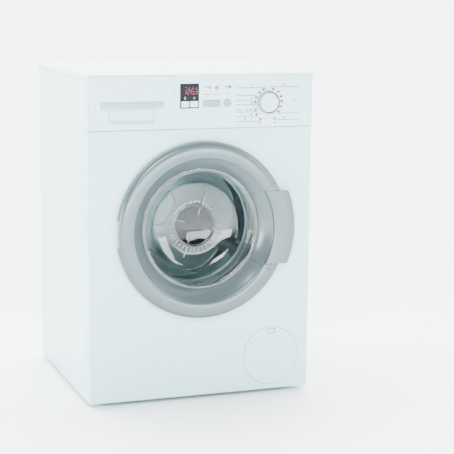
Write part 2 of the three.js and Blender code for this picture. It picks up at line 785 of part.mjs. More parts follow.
function siphonCover() {
  const [x0, x1, y0, y1, , z1] = trayBox();
  const left = x0 + (x1 - x0) * TRAYBOX.divide[0] + TRAYBOX.wall;
  const right = x0 + (x1 - x0) * TRAYBOX.divide[1] - TRAYBOX.wall;
  const back = y1 - TRAYBOX.wall - GAP;
  const front = back - (y1 - y0) * TRAYBOX.coverShare;
  const low = z1 - TRAYBOX.coverDrop;
  const lid = box(left, right, front, back, low, low + TRAYBOX.wall);
  const top = low + TRAYBOX.wall / 2;
  const pipe = barAlongZ(TRAYBOX.pipe, top - TRAYBOX.pipeLong, top, ROUND_TINY, (left + right) / 2,
    (front + back) / 2);
  return piece('siphon_cover', lid.add(pipe), SILVER_PLASTIC);
}

// ---------------------------------------------------------------- door

function doorProfile() {
  const r = DOOR.radius;
  const w = DOOR.wall;
  return [
    [r, DOOR.backEdge],
    [r - 0.4, -12],
    [r - 3, -20],
    [r - 8, DOOR.rim],
    [(r + DOOR.crease) / 2, DOOR.face],
    [DOOR.crease, DOOR.creaseFace],
    [DOOR.bezelMid, DOOR.bezelMidFace],
    [DOOR.glassEdge, DOOR.bezelEnd],
    [DOOR.glassEdge, DOOR.bezelEnd + w],
    [DOOR.glassEdge + w, DOOR.bezelEnd + w],
    [DOOR.bezelMid + w * 0.8, DOOR.bezelMidFace + w * 0.8],
    [DOOR.crease + w * 0.4, DOOR.creaseFace + w],
    [r - 9, DOOR.rim + w],
    [r - w - 2, -18],
    [r - w, -10],
    [r - w, DOOR.backEdge],
  ];
}

function hingeSlot(back) {
  const half = HINGE.knuckleHalf + HINGE.arm + HINGE.slotMargin * RUN;
  const near = -DOOR.radius - HINGE.slotOut;
  return box(near, PIN_X + HINGE.plateFar + RUN, -HINGE.forward - HINGE.knuckle - RUN, back, -half, half);
}

function doorRing() {
  let body = ring(doorProfile(), ROUND_LARGE);
  body = body.subtract(wedge(DOOR.seamAngle + DOOR.seamSplit, DOOR.radius * 2, DOOR.face * 2, -DOOR.face));
  body = body.subtract(hingeSlot(OVERLAP));
  return piece('door_ring', body, SILVER_PLASTIC);
}

function handleSurround() {
  const body = ring(doorProfile(), ROUND_LARGE);
  const slice = wedge(DOOR.seamAngle - DOOR.seamSplit, DOOR.radius * 2, DOOR.face * 2, -DOOR.face);
  const half = HANDLE.halfHeight + RUN;
  const band = box(0, DOOR.radius * 2, DOOR.face * 2, -DOOR.face, -half, half);
  const core = barAlongY(DOOR.crease, DOOR.face * 2, -DOOR.face, ROUND_LARGE);
  return piece('handle_surround', body.intersect(slice).subtract(band.subtract(core)), SILVER_PLASTIC);
}

function doorBackRing() {
  const front = DOOR.backEdge - BACK_RING.plate;
  const clampFace = DOOR.bezelEnd + DOOR.wall + GAP + GLASS.flangeThick + GAP;
  const outer = DOOR.radius - DOOR.wall - GAP * 2;
  const neck = GLASS.flange + 3.5;
  const body = ring([
    [outer, front],
    [outer, DOOR.backEdge],
    [neck + 10, DOOR.backEdge],
    [neck + 3.5, DOOR.bezelEnd + 1],
    [neck + 3, clampFace + 2.7],
    [BACK_RING.clamp, clampFace + 2.7],
    [BACK_RING.clamp, clampFace],
    [neck, clampFace],
    [neck + 0.5, DOOR.bezelEnd],
    [neck + 7, front],
  ], ROUND_LARGE);
  let done = body.subtract(hingeSlot(OVERLAP));
  const slotHalf = LATCH.half + RUN;
  const slotLeft = LATCH_X - LOCK.slotHalf + RUN;
  const slotRight = LATCH_X + LOCK.slotHalf - RUN;
  done = done.subtract(box(slotLeft, slotRight, front - OVERLAP, OVERLAP, -slotHalf, slotHalf));
  for (const side of [-1, 1]) {
    const z = side * (HANDLE.barrelHalf + RUN + HANDLE.postThick / 2);
    const half = HANDLE.postThick / 2;
    const post = box(HANDLE_PIN_X - HANDLE.postHalf, HANDLE_PIN_X + HANDLE.postHalf,
      HANDLE.pinY - HANDLE.barrel, front + OVERLAP, z - half, z + half);
    done = done.add(post);
    const cheek = side * (LATCH.half + 3 * RUN);
    done = done.add(box(LATCH_X - LATCH.barrel, LATCH_X + LATCH.barrel, LATCH.y - LATCH.barrel,
      front + OVERLAP, cheek - 1.5 * RUN, cheek + 1.5 * RUN));
  }
  return piece('door_back_ring', done, GREY_PLASTIC);
}

function doorGlass() {
  const front = DOOR.bezelEnd + DOOR.wall + GAP;
  const back = front + GLASS.flangeThick;
  const w = GLASS.wall;
  const edge = GLASS.depth - GLASS.dome;
  const body = turned([
    [0, GLASS.depth],
    [GLASS.end, edge],
    [GLASS.shoulder, edge - GLASS.turn],
    [GLASS.mouth, back + 3],
    [GLASS.mouth + 2, back],
    [GLASS.flange, back],
    [GLASS.flange, front],
    [GLASS.mouth - w + 1, front],
    [GLASS.mouth - w, back + 1],
    [GLASS.shoulder - w, edge - GLASS.turn - w / 3],
    [GLASS.end - w / 2, edge - w],
    [0, GLASS.depth - w],
  ], ROUND_LARGE);
  return piece('door_glass', body, CLEAR_GLASS);
}

function doorHandle() {
  const inner = DOOR.crease + HANDLE.inner;
  const out = HANDLE_REACH;
  let body = ring([
    [inner, DOOR.creaseFace],
    [(inner + out) / 2, -HANDLE_PROUD + 1],
    [out - 12, -HANDLE_PROUD],
    [out - 3, -HANDLE_PROUD + 3],
    [out, HANDLE.tip],
    [out - 2, HANDLE.back],
    [out - 10, HANDLE.back],
    [inner, HANDLE.back - 1],
  ], ROUND_LARGE);
  const half = HANDLE.halfHeight;
  body = body.intersect(box(0, out * 2, -HANDLE_PROUD * 2, 0, -half, half));
  const long = HANDLE.barrelHalf;
  const barrel = barAlongZ(HANDLE.barrel, -long, long, ROUND_TINY, HANDLE_PIN_X, HANDLE.pinY);
  const web = box(HANDLE_PIN_X - 1.5, HANDLE_PIN_X + 1.5, HANDLE.back - 3, HANDLE.pinY,
    -HANDLE.barrelHalf, HANDLE.barrelHalf);
  return piece('door_handle', body.add(barrel).add(web), SILVER_PLASTIC);
}

function hingeLeaf() {
  const x = PIN_X;
  const y = -HINGE.forward;
  const half = HINGE.knuckleHalf;
  const plateFront = DOOR.backEdge - BACK_RING.plate - GAP - SHEET * 2;
  let body = barAlongZ(HINGE.knuckle, -half, half, ROUND_SMALL, x, y);
  body = body.add(box(x, x + HINGE.plateFar + 12, plateFront, plateFront + SHEET * 2, -half, half));
  body = body.add(box(x, x + HINGE.knuckle, y, plateFront + SHEET, -half, half));
  body = body.subtract(barAlongZ(HINGE.pin + GAP, -half * 2, half * 2, ROUND_SMALL, x, y));
  return piece('hinge_leaf', body, ZINC);
}

function latchHook() {
  const half = LATCH.half - RUN;
  let body = barAlongZ(LATCH.barrel, -LATCH.half, LATCH.half, ROUND_TINY, LATCH_X, LATCH.y);
  const arm = LATCH.width / 2;
  body = body.add(box(LATCH_X - arm, LATCH_X + arm, LATCH.y, LATCH.reach, -half, half));
  const catchFront = LATCH.reach - LATCH.thick;
  body = body.add(box(LATCH_X - LATCH.tip, LATCH_X + arm, catchFront, LATCH.reach, -half, half));
  return piece('latch_hook', body, ZINC);
}

function doorGasket() {
  const lip = MOUTH.throat + SHEET + GAP;
  const edge = MOUTH.depth + MOUTH.lip;
  const body = ring([
    [lip, edge - GASKET.clip],
    [lip + 3, edge - GASKET.clip],
    [lip + 3, edge + 6],
    [GASKET.fold, edge + 12],
    [GASKET.fold + 2, edge + 22],
    [GASKET.tail, edge + 32],
    [GASKET.tail, TUB.front - 2],
    [TUB.neck + TUB.wall + GAP, TUB.front - 2],
    [TUB.neck + TUB.wall + GAP, TUB.neckFront - GAP],
    [GASKET.fold - 3, edge + 20],
    [GASKET.fold - 3, edge + 13],
    [GASKET.inner + 5, edge + 10],
    [GASKET.inner, edge + 4],
    [GASKET.inner + 2, edge + 1],
    [GASKET.inner + 8, edge + GAP + 4],
    [lip, edge + GAP + 4],
  ], ROUND_LARGE);
  return piece('door_gasket', body, RUBBER);
}

// ---------------------------------------------------------------- tub and drum

function tubFront() {
  const r = TUB_RADIUS;
  const w = TUB.wall;
  let body = ring([
    [TUB.neck, TUB.neckFront],
    [TUB.neck + w, TUB.neckFront],
    [TUB.neck + w, TUB.front],
    [r - TUB.rounding, TUB.front],
    [r - TUB.rounding / 4, TUB.front + TUB.rounding / 4],
    [r, TUB.front + TUB.rounding],
    [r, TUB.split - TUB.flangeWide],
    [r + TUB.flange, TUB.split - TUB.flangeWide],
    [r + TUB.flange, TUB.split - GAP],
    [r - w, TUB.split - GAP],
    [r - w, TUB.front + TUB.rounding + w / 3],
    [r - w - TUB.rounding / 4, TUB.front + TUB.rounding / 4 + w],
    [r - TUB.rounding - w / 3, TUB.front + w],
    [TUB.neck, TUB.front + w],
  ], ROUND_LARGE);
  const slot = HEATER.tube * 2 + RUN;
  body = body.subtract(box(-HEATER.half - slot, HEATER.half + slot, TUB.front - OVERLAP, TUB.front + 20,
    heaterZ() - HEATER.tube - RUN, heaterZ() + HEATER.tube + RUN));
  for (const [x, y] of damperPlaces()) {
    body = body.add(damperLug(x, y));
  }
  const top = -chordHeight(r - w, HOSE.sumpX) + OVERLAP;
  const low = -chordHeight(r, HOSE.sumpX) - HOSE.stub;
  const stub = barAlongZ(HOSE.sump - w, low, top, ROUND_TINY, HOSE.sumpX, SUMP_Y);
  return piece('tub_front', body.add(stub), GREY_PLASTIC);
}

const SUMP_Y = 180;

function heaterZ() {
  return -(TUB_RADIUS - TUB.wall + DRUM_RADIUS) / 2 + 1;
}

function damperPlaces() {
  return [[-DAMPER.x, DAMPER.y], [DAMPER.x, DAMPER.y]];
}

function damperLug(x, y) {
  const surface = -chordHeight(TUB_RADIUS, Math.abs(x) + DAMPER.lug / 2);
  const half = DAMPER.lug / 2;
  return box(x - half, x + half, y - half, y + half, surface - DAMPER.lugThick, surface + DAMPER.lugThick);
}

function damperRod(name, x) {
  const surface = -chordHeight(TUB_RADIUS, Math.abs(x) + DAMPER.lug / 2);
  const top = surface - DAMPER.lugThick - GAP;
  const low = LIFT + DAMPER.rodEnd - AXIS_Z;
  return piece(name, barAlongZ(DAMPER.rod, low, top, ROUND_TINY, x, DAMPER.y), STAINLESS);
}

function damperCylinder(name, x) {
  const base = LIFT + TRAY.plate + GAP;
  const bore = DAMPER.rod + RUN / 2;
  const body = turnedUpright([
    [0, base],
    [DAMPER.body + 4, base],
    [DAMPER.body + 4, base + 6],
    [DAMPER.body, base + 8],
    [DAMPER.body, DAMPER.top],
    [bore, DAMPER.top],
    [bore, base + 20],
    [0, base + 20],
  ], ROUND_SMALL, x, DAMPER.y);
  return piece(name, body, DARK_PLASTIC);
}

function springX() {
  return SPRING.x;
}

function springLugTop() {
  return chordHeight(TUB_RADIUS, SPRING.x) + SPRING.lugRise;
}

function tubRear() {
  const r = TUB_RADIUS;
  const w = TUB.wall;
  const hub = BEARING.outer + GAP;
  let body = ring([
    [r + TUB.flange, TUB.split],
    [r + TUB.flange, TUB.split + TUB.flangeWide],
    [r, TUB.split + TUB.flangeWide],
    [r, TUB.back - 24],
    [r - 22, TUB.back],
    [BEARING.housing + 4, TUB.back],
    [BEARING.housing, TUB.back + BEARING.length - 6],
    [hub, TUB.back + BEARING.length - 6],
    [hub, TUB.back - w],
    [r - 24, TUB.back - w],
    [r - w, TUB.back - 26],
    [r - w, TUB.split],
  ], ROUND_LARGE);
  for (const side of [-1, 1]) {
    const x = side * SPRING.x;
    const root = chordHeight(r - w, SPRING.x + SPRING.lug);
    body = body.add(box(x - SPRING.lug, x + SPRING.lug, SPRING.y - SPRING.lug, SPRING.y + SPRING.lug,
      root, springLugTop()));
  }
  const motorTop = MOTOR.height + MOTOR.radius - AXIS_Z;
  const lugFront = MOTOR.front + MOTOR.lugSetBack;
  const lugTop = -chordHeight(r, MOTOR.x + MOTOR.lugHalf) + w;
  body = body.add(box(MOTOR.x - MOTOR.lugHalf, MOTOR.x + MOTOR.lugHalf, lugFront, lugFront + MOTOR.lugDepth,
    motorTop + GAP, lugTop));
  const [fillX, fillY, fillTop] = fillPlace();
  const stubRadius = HOSE.fill - MOULDING;
  const root = chordHeight(r - w, Math.abs(fillX) + HOSE.fill);
  const stub = barAlongZ(stubRadius, root, fillTop, ROUND_TINY, fillX, fillY);
  const inside = barAlongY(r - w / 2, TUB.split, TUB.back - w, ROUND_LARGE, 0, 0);
  body = body.add(stub.subtract(inside));
  return piece('tub_rear', body, GREY_PLASTIC);
}

function fillPlace() {
  const x = -HALF + 134;
  return [x, 306, chordHeight(TUB_RADIUS, x) + 14];
}

function bearingCartridge() {
  const inner = SPIDER.shaft + GAP;
  const body = ring([
    [inner, TUB.back - TUB.wall],
    [BEARING.outer, TUB.back - TUB.wall],
    [BEARING.outer, TUB.back + BEARING.length - 7],
    [inner, TUB.back + BEARING.length - 7],
  ], ROUND_MEDIUM);
  return piece('bearing_cartridge', body, CAST_METAL);
}

function counterweight() {
  const r = TUB_RADIUS + TUB.flange + 2 * GAP;
  const arcSteps = 10;
  const top = HEIGHT - TOP.thick - WEIGHT.below - AXIS_Z;
  const points = [[WEIGHT.right, top], [WEIGHT.left, top]];
  for (let i = 0; i <= arcSteps; i += 1) {
    const x = WEIGHT.left + ((WEIGHT.right - WEIGHT.left) * i) / arcSteps;
    points.push([x, chordHeight(r, x)]);
  }
  return piece('counterweight_top', frontBlock(points, WEIGHT.front, WEIGHT.back), CONCRETE);
}

function heater() {
  const z = heaterZ();
  const front = TUB.front - GAP;
  const tip = front + HEATER.reach;
  const loop = bentBar(HEATER.tube, 6, 22, [
    [-HEATER.half, front - OVERLAP, z],
    [-HEATER.half, tip - HEATER.half * 1.5, z],
    [-HEATER.half * 0.72, tip - HEATER.half * 0.4, z],
    [0, tip, z],
    [HEATER.half * 0.72, tip - HEATER.half * 0.4, z],
    [HEATER.half, tip - HEATER.half * 1.5, z],
    [HEATER.half, front - OVERLAP, z],
  ]);
  const plate = box(-HEATER.plate, HEATER.plate, front - HEATER.plateThick, front, z - 7, z + 7);
  return piece('heater', loop.add(plate), STAINLESS);
}

function motor() {
  const z = MOTOR.height - AXIS_Z;
  const r = MOTOR.radius;
  let body = barAlongY(r, MOTOR.front, MOTOR.back, ROUND_SMALL, MOTOR.x, z);
  const half = MOTOR.lugHalf;
  const padFront = MOTOR.front + MOTOR.lugSetBack - MOTOR.padMargin;
  const padBack = MOTOR.front + MOTOR.lugSetBack + MOTOR.lugDepth + MOTOR.padMargin;
  body = body.add(box(MOTOR.x - half, MOTOR.x + half, padFront, padBack, z, z + r));
  const shaftEnd = PULLEY.plane - PULLEY.width / 2 - GAP;
  body = body.add(barAlongY(MOTOR.shaft, MOTOR.back - OVERLAP, shaftEnd, ROUND_TINY, MOTOR.x, z));
  return piece('motor', body, CAST_METAL);
}

function motorPulley() {
  const half = PULLEY.width / 2;
  const body = turned([
    [0, PULLEY.plane - half],
    [MOTOR.pulley + MOTOR.pulleyLip, PULLEY.plane - half],
    [MOTOR.pulley + MOTOR.pulleyLip, PULLEY.plane - half + 1.5],
    [MOTOR.pulley, PULLEY.plane - half + 1.6],
    [MOTOR.pulley, PULLEY.plane + half - 1.6],
    [MOTOR.pulley + MOTOR.pulleyLip, PULLEY.plane + half - 1.5],
    [MOTOR.pulley + MOTOR.pulleyLip, PULLEY.plane + half],
    [0, PULLEY.plane + half],
  ], ROUND_SMALL);
  return piece('motor_pulley', body, ZINC);
}

/** The line of a belt round two circles, the large one at the origin. */
function beltPoints(large, small, x, z, facets) {
  const distance = Math.hypot(x, z);
  const towards = Math.atan2(z, x);
  const spread = Math.acos((large - small) / distance);
  const points = [];
  const sweep = 2 * Math.PI - 2 * spread;
  for (let i = 0; i <= facets; i += 1) {
    const angle = towards + spread + (sweep * i) / facets;
    points.push([large * Math.cos(angle), large * Math.sin(angle)]);
  }
  const turns = Math.round(facets / 3);
  for (let i = 0; i <= turns; i += 1) {
    const angle = towards - spread + (2 * spread * i) / turns;
    points.push([x + small * Math.cos(angle), z + small * Math.sin(angle)]);
  }
  return points;
}

function driveBelt() {
  const z = MOTOR.height - AXIS_Z;
  const clear = 1 / Math.cos(Math.PI / (ROUND_MEDIUM * 1.2));
  const inner = (PULLEY.radius + GAP) * clear;
  const innerSmall = (MOTOR.pulley + GAP) * 1.06;
  const half = BELT.width / 2;
  const y0 = PULLEY.plane - half;
  const y1 = PULLEY.plane + half;
  const outerLine = beltPoints(inner + BELT.thick, innerSmall + BELT.thick, MOTOR.x, z, ROUND_MEDIUM);
  const outer = frontBlock(outerLine, y0, y1);
  const hollow = frontBlock(beltPoints(inner, innerSmall, MOTOR.x, z, ROUND_MEDIUM), y0 - 1, y1 + 1);
  return piece('drive_belt', outer.subtract(hollow), BLACK_RUBBER);
}

function drumShell() {
  const r = DRUM_RADIUS;
  const w = DRUM.wall;
  const body = turned([
    [DRUM.mouth, DRUM.front + DRUM.lipDepth],
    [DRUM.mouth, DRUM.front],
    [r - DRUM.rounding, DRUM.front],
    [r - 6, DRUM.front + 7],
    [r, DRUM.front + DRUM.rounding],
    [r, DRUM.back - 4],
    [r - 4, DRUM.back],
    [0, DRUM.back],
    [0, DRUM.back - w],
    [r - 5, DRUM.back - w],
    [r - w, DRUM.back - 5],
    [r - w, DRUM.front + DRUM.rounding + 1],
    [r - 7, DRUM.front + 9],
    [r - DRUM.rounding - 1, DRUM.front + w],
    [DRUM.mouth + w, DRUM.front + w],
    [DRUM.mouth + w, DRUM.front + DRUM.lipDepth],
    [DRUM.mouth, DRUM.front + DRUM.lipDepth],
  ], ROUND_LARGE);
  return piece('drum_shell', body, STAINLESS);
}

function drumSpider() {
  const front = DRUM.back + GAP;
  let body = turned([
    [0, front],
    [SPIDER.hub, front],
    [SPIDER.hub, front + SPIDER.thick],
    [SPIDER.shaft, front + SPIDER.thick + 2],
    [SPIDER.shaft, SPIDER.shaftEnd],
    [0, SPIDER.shaftEnd],
  ], ROUND_MEDIUM);
  const reach = DRUM_RADIUS - SPIDER.rim;
  for (let i = 0; i < LIFTER.count; i += 1) {
    const root = SPIDER.arm / 2;
    const tip = SPIDER.arm / 3;
    const arm = frontBlock([[-root, 0], [root, 0], [tip, reach], [-tip, reach]],
      front, front + SPIDER.thick);
    body = body.add(arm.rotate([0, (360 / LIFTER.count) * i, 0]));
  }
  return piece('drum_spider', body, CAST_METAL);
}

function drumPulley() {
  const half = PULLEY.width / 2;
  const inner = SPIDER.shaft + GAP;
  const mid = PULLEY.web / 2;
  const r = PULLEY.radius;
  const body = ring([
    [r, PULLEY.plane - half],
    [r, PULLEY.plane + half],
    [r - PULLEY.rim, PULLEY.plane + half],
    [r - PULLEY.rim, PULLEY.plane + mid],
    [PULLEY.hub, PULLEY.plane + mid],
    [PULLEY.hub, PULLEY.plane + half],
    [inner, PULLEY.plane + half],
    [inner, PULLEY.plane - half],
    [PULLEY.hub, PULLEY.plane - half],
    [PULLEY.hub, PULLEY.plane - mid],
    [r - PULLEY.rim, PULLEY.plane - mid],
    [r - PULLEY.rim, PULLEY.plane - half],
  ], ROUND_MEDIUM);
  return piece('drum_pulley', body, CAST_METAL);
}

function drumLifter(name, turn) {
  const surface = (DRUM_RADIUS - DRUM.wall - GAP) * Math.cos(Math.PI / ROUND_LARGE);
  const half = LIFTER.base / 2;
  const edge = chordHeight(surface, half);
  const body = frontBlock([
    [-half, edge],
    [-LIFTER.crest, surface - LIFTER.height],
    [LIFTER.crest, surface - LIFTER.height],
    [half, edge],
    [half / 2, chordHeight(surface, half / 2)],
    [0, surface],
    [-half / 2, chordHeight(surface, half / 2)],
  ], DRUM.front + DRUM.rounding + LIFTER.front, DRUM.back - LIFTER.back);
  return piece(name, body.rotate([0, turn, 0]), STAINLESS);
}

function suspensionSpring(name, x) {
  const low = AXIS_Z + springLugTop() + GAP + SPRING.wire;
  const high = HEIGHT - TOP.thick - SHELF.below - SHELF.thick - GAP - SPRING.wire;
  const perTurn = 8;
  const points = [];
  for (let i = 0; i <= SPRING.turns * perTurn; i += 1) {
    const angle = (2 * Math.PI * i) / perTurn;
    const z = low + ((high - low) * i) / (SPRING.turns * perTurn);
    points.push([x + SPRING.coil * Math.cos(angle), SPRING.y + SPRING.coil * Math.sin(angle), z]);
  }
  return piece(name, bentBar(SPRING.wire, 5, SPRING.turns * perTurn, points), ZINC);
}

// ---------------------------------------------------------------- water and power

function pumpHousing() {
  let body = turned([
    [PUMP.bore, PUMP.front],
    [PUMP.barrel, PUMP.front],
    [PUMP.barrel, PUMP.voluteFront],
    [PUMP.volute, PUMP.voluteFront],
    [PUMP.volute, PUMP.voluteBack],
    [PUMP.motor, PUMP.voluteBack],
    [PUMP.motor, PUMP.back],
    [0, PUMP.back],
    [0, PUMP.voluteBack - 6],
    [PUMP.bore, PUMP.voluteBack - 6],
    [PUMP.bore, PUMP.front],
  ], ROUND_SMALL);
  const y = (PUMP.voluteFront + PUMP.voluteBack) / 2;
  const floor = LIFT + TRAY.plate + GAP - FLAP_Z;
  body = body.add(box(-18, 18, PUMP.voluteFront + 4, PUMP.voluteBack - 4, floor, -PUMP.bore - 4));
  const stub = new THREE.CylinderGeometry(HOSE.sump - TUB.wall, HOSE.sump - TUB.wall, PUMP.stub, ROUND_TINY);
  const inlet = solid(stub.rotateZ(Math.PI / 2));
  body = body.add(inlet.translate([-PUMP.volute - 8, y, 0]));
  body = body.add(barAlongZ(HOSE.drain - 2.5, PUMP.volute - 8, PUMP.volute + 16, ROUND_TINY, 12, y));
  return piece('pump_housing', body, WHITE_PLASTIC);
}

function filterPlug() {
  const front = PUMP.front - GAP;
  let body = turned([
    [0, front - 5],
    [PLUG.rim, front - PLUG.face],
    [PLUG.rim, front],
    [PUMP.bore - RUN, front],
    [PUMP.bore - RUN, front + PLUG.length],
    [0, front + PLUG.length],
  ], ROUND_SMALL);
  const gripSide = PLUG.rim * PLUG.gripShare;
  const gripBack = front - PLUG.face + OVERLAP;
  const gripFront = front - PLUG.gripDepth + PLUG.gripFoot;
  body = body.add(box(-gripSide, gripSide, gripFront, gripBack, -PLUG.grip / 2, PLUG.grip / 2));
  return piece('filter_plug', body, GREY_PLASTIC);
}

function serviceFlap() {
  const face = -FLAP.proud;
  let body = barAlongY(FLAP.radius, face, face + FLAP.thick, ROUND_LARGE, 0, 0);
  const half = FLAP.notch / 2;
  const high = FLAP.radius - 3;
  const floor = face + FLAP.thick * FLAP.notchShare;
  body = body.subtract(box(-half, half, face - OVERLAP, floor, high - FLAP.notchDrop, high));
  return piece('service_flap', body, WHITE_PLASTIC);
}

function sumpHose() {
  const y = (PUMP.voluteFront + PUMP.voluteBack) / 2;
  const start = AXIS_Z - chordHeight(TUB_RADIUS, HOSE.sumpX) - HOSE.stub - GAP;
  const endX = FLAP_X - PUMP.volute - 20 - GAP;
  const body = bentBar(HOSE.sump, ROUND_TINY, 12, [
    [HOSE.sumpX, SUMP_Y, start],
    [HOSE.sumpX, SUMP_Y, start - 20],
    [70, SUMP_Y - 8, FLAP_Z + 26],
    [endX - 34, y + 6, FLAP_Z + 2],
    [endX - 12, y, FLAP_Z],
    [endX, y, FLAP_Z],
  ]);
  return piece('sump_hose', body, BLACK_RUBBER);
}

function drainHose() {
  const y = (PUMP.voluteFront + PUMP.voluteBack) / 2;
  const start = FLAP_Z + PUMP.volute + 16 + GAP;
  const side = spigotX();
  const back = CABINET_DEPTH - 26;
  const body = bentBar(HOSE.drain, ROUND_TINY, 24, [
    [FLAP_X + 12, y, start],
    [FLAP_X + 12, y, start + 14],
    [side - 22, y + 40, start + 34],
    [side + 4, y + 120, start + 42],
    [side + 8, back - 120, start + 46],
    [side + 8, back - 30, start + 66],
    [side + 6, back - 6, start + 130],
    [side + 4, back - 6, spigotZ() - 60],
    [side, back - 2, spigotZ() - 16],
    [side, back + 16, spigotZ()],
  ]);
  const spigotEnd = CABINET_DEPTH + REAR_PROUD - RUN;
  const spigot = barAlongY(SPIGOT.radius, back + 12, spigotEnd, ROUND_TINY, side, spigotZ());
  return piece('drain_hose', body.add(spigot), BLACK_RUBBER);
}

function fillHose() {
  const [x0, x1, z0] = drawerSpan();
  const spoutX = (x0 + HOUSING.left + x1 - HOUSING.right) / 2;
  const spoutZ = z0 + HOUSING.low + HOUSING.spout + HOUSING.wall;
  const [endX, endY, endHeight] = fillPlace();
  const start = HOUSING.back + HOUSING.spout + GAP;
  const end = AXIS_Z + endHeight + GAP;
  const body = bentBar(HOSE.fill, ROUND_TINY, 10, [
    [spoutX, start, spoutZ],
    [spoutX, start + 10, spoutZ],
    [(spoutX + endX) / 2, (start + endY) / 2 + 12, spoutZ - 6],
    [endX, endY, end + 14],
    [endX, endY, end],
  ]);
  return piece('dispenser_hose', body, BLACK_RUBBER);
}

function inletValve() {
  const back = CABINET_DEPTH - SHEET - GAP;
  const half = VALVE.body;
  const x = valveX();
  const z = valveZ();
  let body = box(x - half, x + half, back - VALVE.depth, back, z - half, z + half);
  const threadEnd = CABINET_DEPTH + REAR_PROUD;
  body = body.add(barAlongY(VALVE.thread - RUN, back - OVERLAP, threadEnd, ROUND_SMALL, x, z));
  const pipe = barAlongY(VALVE.pipe, HOUSING.back + GAP, back - VALVE.depth + OVERLAP, ROUND_TINY, x, z);
  return piece('inlet_valve', body.add(pipe), WHITE_PLASTIC);
}

function powerInlet() {
  const back = CABINET_DEPTH - SHEET - GAP;
  const x = powerX();
  const z = powerZ();
  let body = box(x - INLET.half, x + INLET.half, back - INLET.depth, back, z - INLET.half, z + INLET.half);
  body = body.add(barAlongY(INLET.bush, back - OVERLAP, CABINET_DEPTH + REAR_PROUD - 2, ROUND_TINY, x, z));
  return piece('power_inlet', body, DARK_PLASTIC);
}

// ---------------------------------------------------------------- assembly

const machine = new THREE.Group();
machine.name = 'washing_machine';

const cabinet = new THREE.Group();
cabinet.name = 'cabinet';
cabinet.position.set(0, FRONT, 0);
cabinet.add(baseTray(), cabinetWrap(), rearCover(), topCover(), frontPanel(), doorLock(), doorGasketPlaced());
cabinet.add(controlFascia(), displayWindow(), controlBoard(), dispenserHousing());
cabinet.add(inletValve(), powerInlet(), sumpHose(), drainHose(), fillHose());
cabinet.add(damperCylinder('damper_cylinder_left', -DAMPER.x));
cabinet.add(damperCylinder('damper_cylinder_right', DAMPER.x));
cabinet.add(suspensionSpring('suspension_spring_left', -springX()));
cabinet.add(suspensionSpring('suspension_spring_right', springX()));
machine.add(cabinet);

function doorGasketPlaced() {
  const mesh = doorGasket();
  mesh.position.set(0, 0, AXIS_Z);
  return mesh;
}

const hinge = new THREE.Group();
hinge.name = 'hinge';
hinge.position.set(0, FRONT, AXIS_Z);
hinge.add(hingePlate(), hingePin());
machine.add(hinge);

const footNames = ['foot_front_left', 'foot_front_right', 'foot_rear_left', 'foot_rear_right'];
footPlaces().forEach(([x, y], i) => {
  const mesh = foot(footNames[i]);
  mesh.position.set(x, FRONT + y, 0);
  machine.add(mesh);
});

const controls = new THREE.Group();
controls.name = 'controls';
controls.position.set(0, FRONT, 0);
for (const place of [...displayButtonPlaces(), optionButtonPlace()]) {
  controls.add(pushButton(...place));
}
controls.add(startButton());
machine.add(controls);

const knob = programKnob();
knob.position.set(KNOB_X, FRONT, knobZ());
machine.add(knob);

const drawer = new THREE.Group();
drawer.name = 'drawer';
drawer.position.set(0, FRONT, 0);
drawer.add(drawerFront(), drawerTray(), siphonCover());
machine.add(drawer);

const door = new THREE.Group();
door.name = 'door';
door.position.set(0, FRONT, AXIS_Z);
door.add(doorRing(), handleSurround(), doorBackRing(), doorGlass(), hingeLeaf(), doorHandle(), latchHook());
machine.add(door);

const service = new THREE.Group();
service.name = 'service';
service.position.set(FLAP_X, FRONT, FLAP_Z);
service.add(pumpHousing(), filterPlug(), serviceFlap());
machine.add(service);

const tub = new THREE.Group();
tub.name = 'tub';
tub.position.set(0, FRONT, AXIS_Z);
tub.add(tubFront(), tubRear(), counterweight(), heater(), motor(), driveBelt(), bearingCartridge());
tub.add(damperRod('damper_rod_left', -DAMPER.x), damperRod('damper_rod_right', DAMPER.x));
machine.add(tub);

const motorDrive = motorPulley();
motorDrive.position.set(MOTOR.x, FRONT, MOTOR.height);
machine.add(motorDrive);

const drum = new THREE.Group();
drum.name = 'drum';
drum.position.set(0, FRONT, AXIS_Z);
drum.add(drumShell(), drumSpider(), drumPulley());
for (let i = 0; i < LIFTER.count; i += 1) {
  drum.add(drumLifter(`drum_lifter_${i + 1}`, (360 / LIFTER.count) * i));
}
machine.add(drum);

export default machine;
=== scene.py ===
# %% [markdown]
# # A front load washing machine, seen in soft studio light
#
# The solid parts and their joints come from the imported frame. Here each visible part gets
# its finer shape, its printed details and its finish. Lengths below are millimetres, counted
# from the middle of the cabinet's front plane, and are turned into metres when a mesh is made.

# %% Load the frame
import json
import math

import bmesh
import bpy
from mathutils import Matrix, Vector


